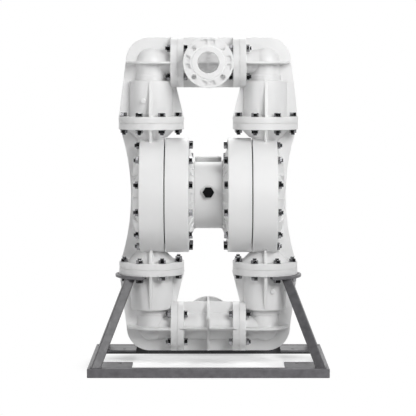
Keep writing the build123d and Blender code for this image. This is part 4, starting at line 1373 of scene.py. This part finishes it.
def make_world(ambient, room):
    """White to the eye, dim as light, and to metal a white sweep behind the pump with a dark room in front"""
    world = bpy.data.worlds.new("studio")
    world.use_nodes = True
    bpy.context.scene.world = world
    tree = world.node_tree
    rays = tree.nodes.new("ShaderNodeLightPath")
    place = tree.nodes.new("ShaderNodeTexCoord")
    parts = tree.nodes.new("ShaderNodeSeparateXYZ")
    tree.links.new(place.outputs["Generated"], parts.inputs[0])
    behind = parts.outputs["Y"]
    lit = tree.nodes["Background"]
    shown = tree.nodes.new("ShaderNodeBackground")
    low, high = -0.10, 0.45
    glow = soft_step(tree, behind, low, high, end=ambient)
    sweep = soft_step(tree, behind, low, high, start=room)
    tree.links.new(glow, lit.inputs["Color"])
    tree.links.new(larger(tree, sweep, rays.outputs["Is Camera Ray"]), shown.inputs["Color"])
    surface = mixed(tree, seen_white(tree, rays), lit.outputs[0], shown.outputs[0])
    tree.links.new(surface, tree.nodes["World Output"].inputs["Surface"])


def floor_shader(tree, kind, grey, strength=None):
    """A grey diffuse or emission shader"""
    shader = tree.nodes.new(kind)
    shader.inputs["Color"].default_value = (grey, grey, grey, 1)
    if strength is not None:
        shader.inputs["Strength"].default_value = strength
    return shader


def make_floor(glow, shown_reach, room):
    """A pale floor: white to the camera but for the pump's soft shadow, and to metal dark far in front"""
    mesh = bpy.data.meshes.new("studio_floor")
    reach = 40.0
    mesh.from_pydata([(x, y, 0) for x, y in rectangle(-reach, -reach, reach, reach)], [], [(0, 1, 2, 3)])
    floor = bpy.data.objects.new("studio_floor", mesh)
    bpy.context.scene.collection.objects.link(floor)
    material = bpy.data.materials.new("studio_floor")
    material.use_nodes = True
    mesh.materials.append(material)
    tree = material.node_tree
    tree.nodes.remove(tree.nodes["Principled BSDF"])
    rays = tree.nodes.new("ShaderNodeLightPath")
    place = tree.nodes.new("ShaderNodeTexCoord")
    paper = floor_shader(tree, "ShaderNodeBsdfDiffuse", 0.64)
    shadowed = tree.nodes.new("ShaderNodeAddShader")
    tree.links.new(floor_shader(tree, "ShaderNodeBsdfDiffuse", 0.95).outputs[0], shadowed.inputs[0])
    tree.links.new(floor_shader(tree, "ShaderNodeEmission", 1.0, glow).outputs[0], shadowed.inputs[1])
    parts = tree.nodes.new("ShaderNodeSeparateXYZ")
    tree.links.new(place.outputs["Object"], parts.inputs[0])
    sweep = soft_step(tree, parts.outputs["Y"], -1.6, -0.5, start=room)
    clean = floor_shader(tree, "ShaderNodeEmission", 1.0)
    tree.links.new(larger(tree, sweep, rays.outputs["Is Camera Ray"]), clean.inputs["Strength"])
    far = soft_step(tree, stand_distance(tree, place), 0.6 * shown_reach, shown_reach)
    seen = mixed(tree, far, shadowed.outputs[0], clean.outputs[0])
    surface = mixed(tree, seen_white(tree, rays), paper.outputs[0], seen)
    tree.links.new(surface, tree.nodes["Material Output"].inputs["Surface"])


def stand_distance(tree, place):
    """Distance from the middle, as a multiple of the stand's half size"""
    footprint = tree.nodes.new("ShaderNodeVectorMath")
    footprint.operation = "MULTIPLY"
    footprint.inputs[1].default_value = (1 / CAD_BOX[1].x, 1 / CAD_BOX[1].y, 0)
    length = tree.nodes.new("ShaderNodeVectorMath")
    length.operation = "LENGTH"
    tree.links.new(place.outputs["Object"], footprint.inputs[0])
    tree.links.new(footprint.outputs[0], length.inputs[0])
    return length.outputs["Value"]


class PUMP_OT_studio(bpy.types.Operator):
    """Make the camera, the lamps, the world and the floor"""

    bl_idname = "pump.studio"
    bl_label = "Studio"

    def execute(self, context):
        studio = context.scene.pump_studio
        context.scene.view_settings.view_transform = "Standard"
        self.camera(context.scene, studio)
        area_lamp("key", studio.key, azimuth=28, height=28, distance=4.5)
        area_lamp("top", studio.top, azimuth=0, height=78, distance=4.0)
        area_lamp("fill", studio.fill, azimuth=-50, height=15, distance=4.5)
        area_lamp("rear", studio.rear, azimuth=180, height=35, distance=4.5)
        make_world(studio.ambient, studio.room)
        make_floor(studio.floor_glow, studio.floor_reach, studio.room)
        return {"FINISHED"}

    def camera(self, scene, studio):
        data = bpy.data.cameras.new("camera")
        data.lens = studio.lens
        data.sensor_width = 36.0
        camera = bpy.data.objects.new("camera", data)
        scene.collection.objects.link(camera)
        ahead = Vector((0, cos(studio.tilt), -sin(studio.tilt)))
        aim_x = -0.0013
        camera.location = Vector((aim_x, 0, studio.aim_height)) - ahead * studio.distance
        camera.rotation_euler = (pi / 2 - studio.tilt, 0, 0)
        scene.camera = camera


class PUMP_PT_panel(bpy.types.Panel):
    """Lists the pump's pieces"""

    bl_idname = "PUMP_PT_panel"
    bl_label = "Diaphragm Pump"
    bl_space_type = "VIEW_3D"
    bl_region_type = "UI"
    bl_category = "Pump"

    def draw(self, context):
        for operator in OPERATORS:
            self.layout.operator(operator.bl_idname)


OPERATORS = (
    PUMP_OT_studio,
    PUMP_OT_finishes,
    PUMP_OT_elbows,
    PUMP_OT_tees,
    PUMP_OT_chambers,
    PUMP_OT_center_section,
    PUMP_OT_bolts,
    PUMP_OT_air_valve,
    PUMP_OT_stand,
)
GROUPS = {"pump_sizes": PumpSizes, "pump_finish": PumpFinish, "pump_studio": PumpStudio}


def register():
    for name, group in GROUPS.items():
        bpy.utils.register_class(group)
        setattr(bpy.types.Scene, name, PointerProperty(type=group))
    for operator in OPERATORS:
        bpy.utils.register_class(operator)
    bpy.utils.register_class(PUMP_PT_panel)


def unregister():
    bpy.utils.unregister_class(PUMP_PT_panel)
    for operator in reversed(OPERATORS):
        bpy.utils.unregister_class(operator)
    for name, group in GROUPS.items():
        delattr(bpy.types.Scene, name)
        bpy.utils.unregister_class(group)


def main():
    register()
    bpy.ops.pump.studio()
    bpy.ops.pump.finishes()
    bpy.ops.pump.elbows()
    bpy.ops.pump.tees()
    bpy.ops.pump.chambers()
    bpy.ops.pump.center_section()
    bpy.ops.pump.bolts()
    bpy.ops.pump.air_valve()
    bpy.ops.pump.stand()


if __name__ == "__main__":
    main()
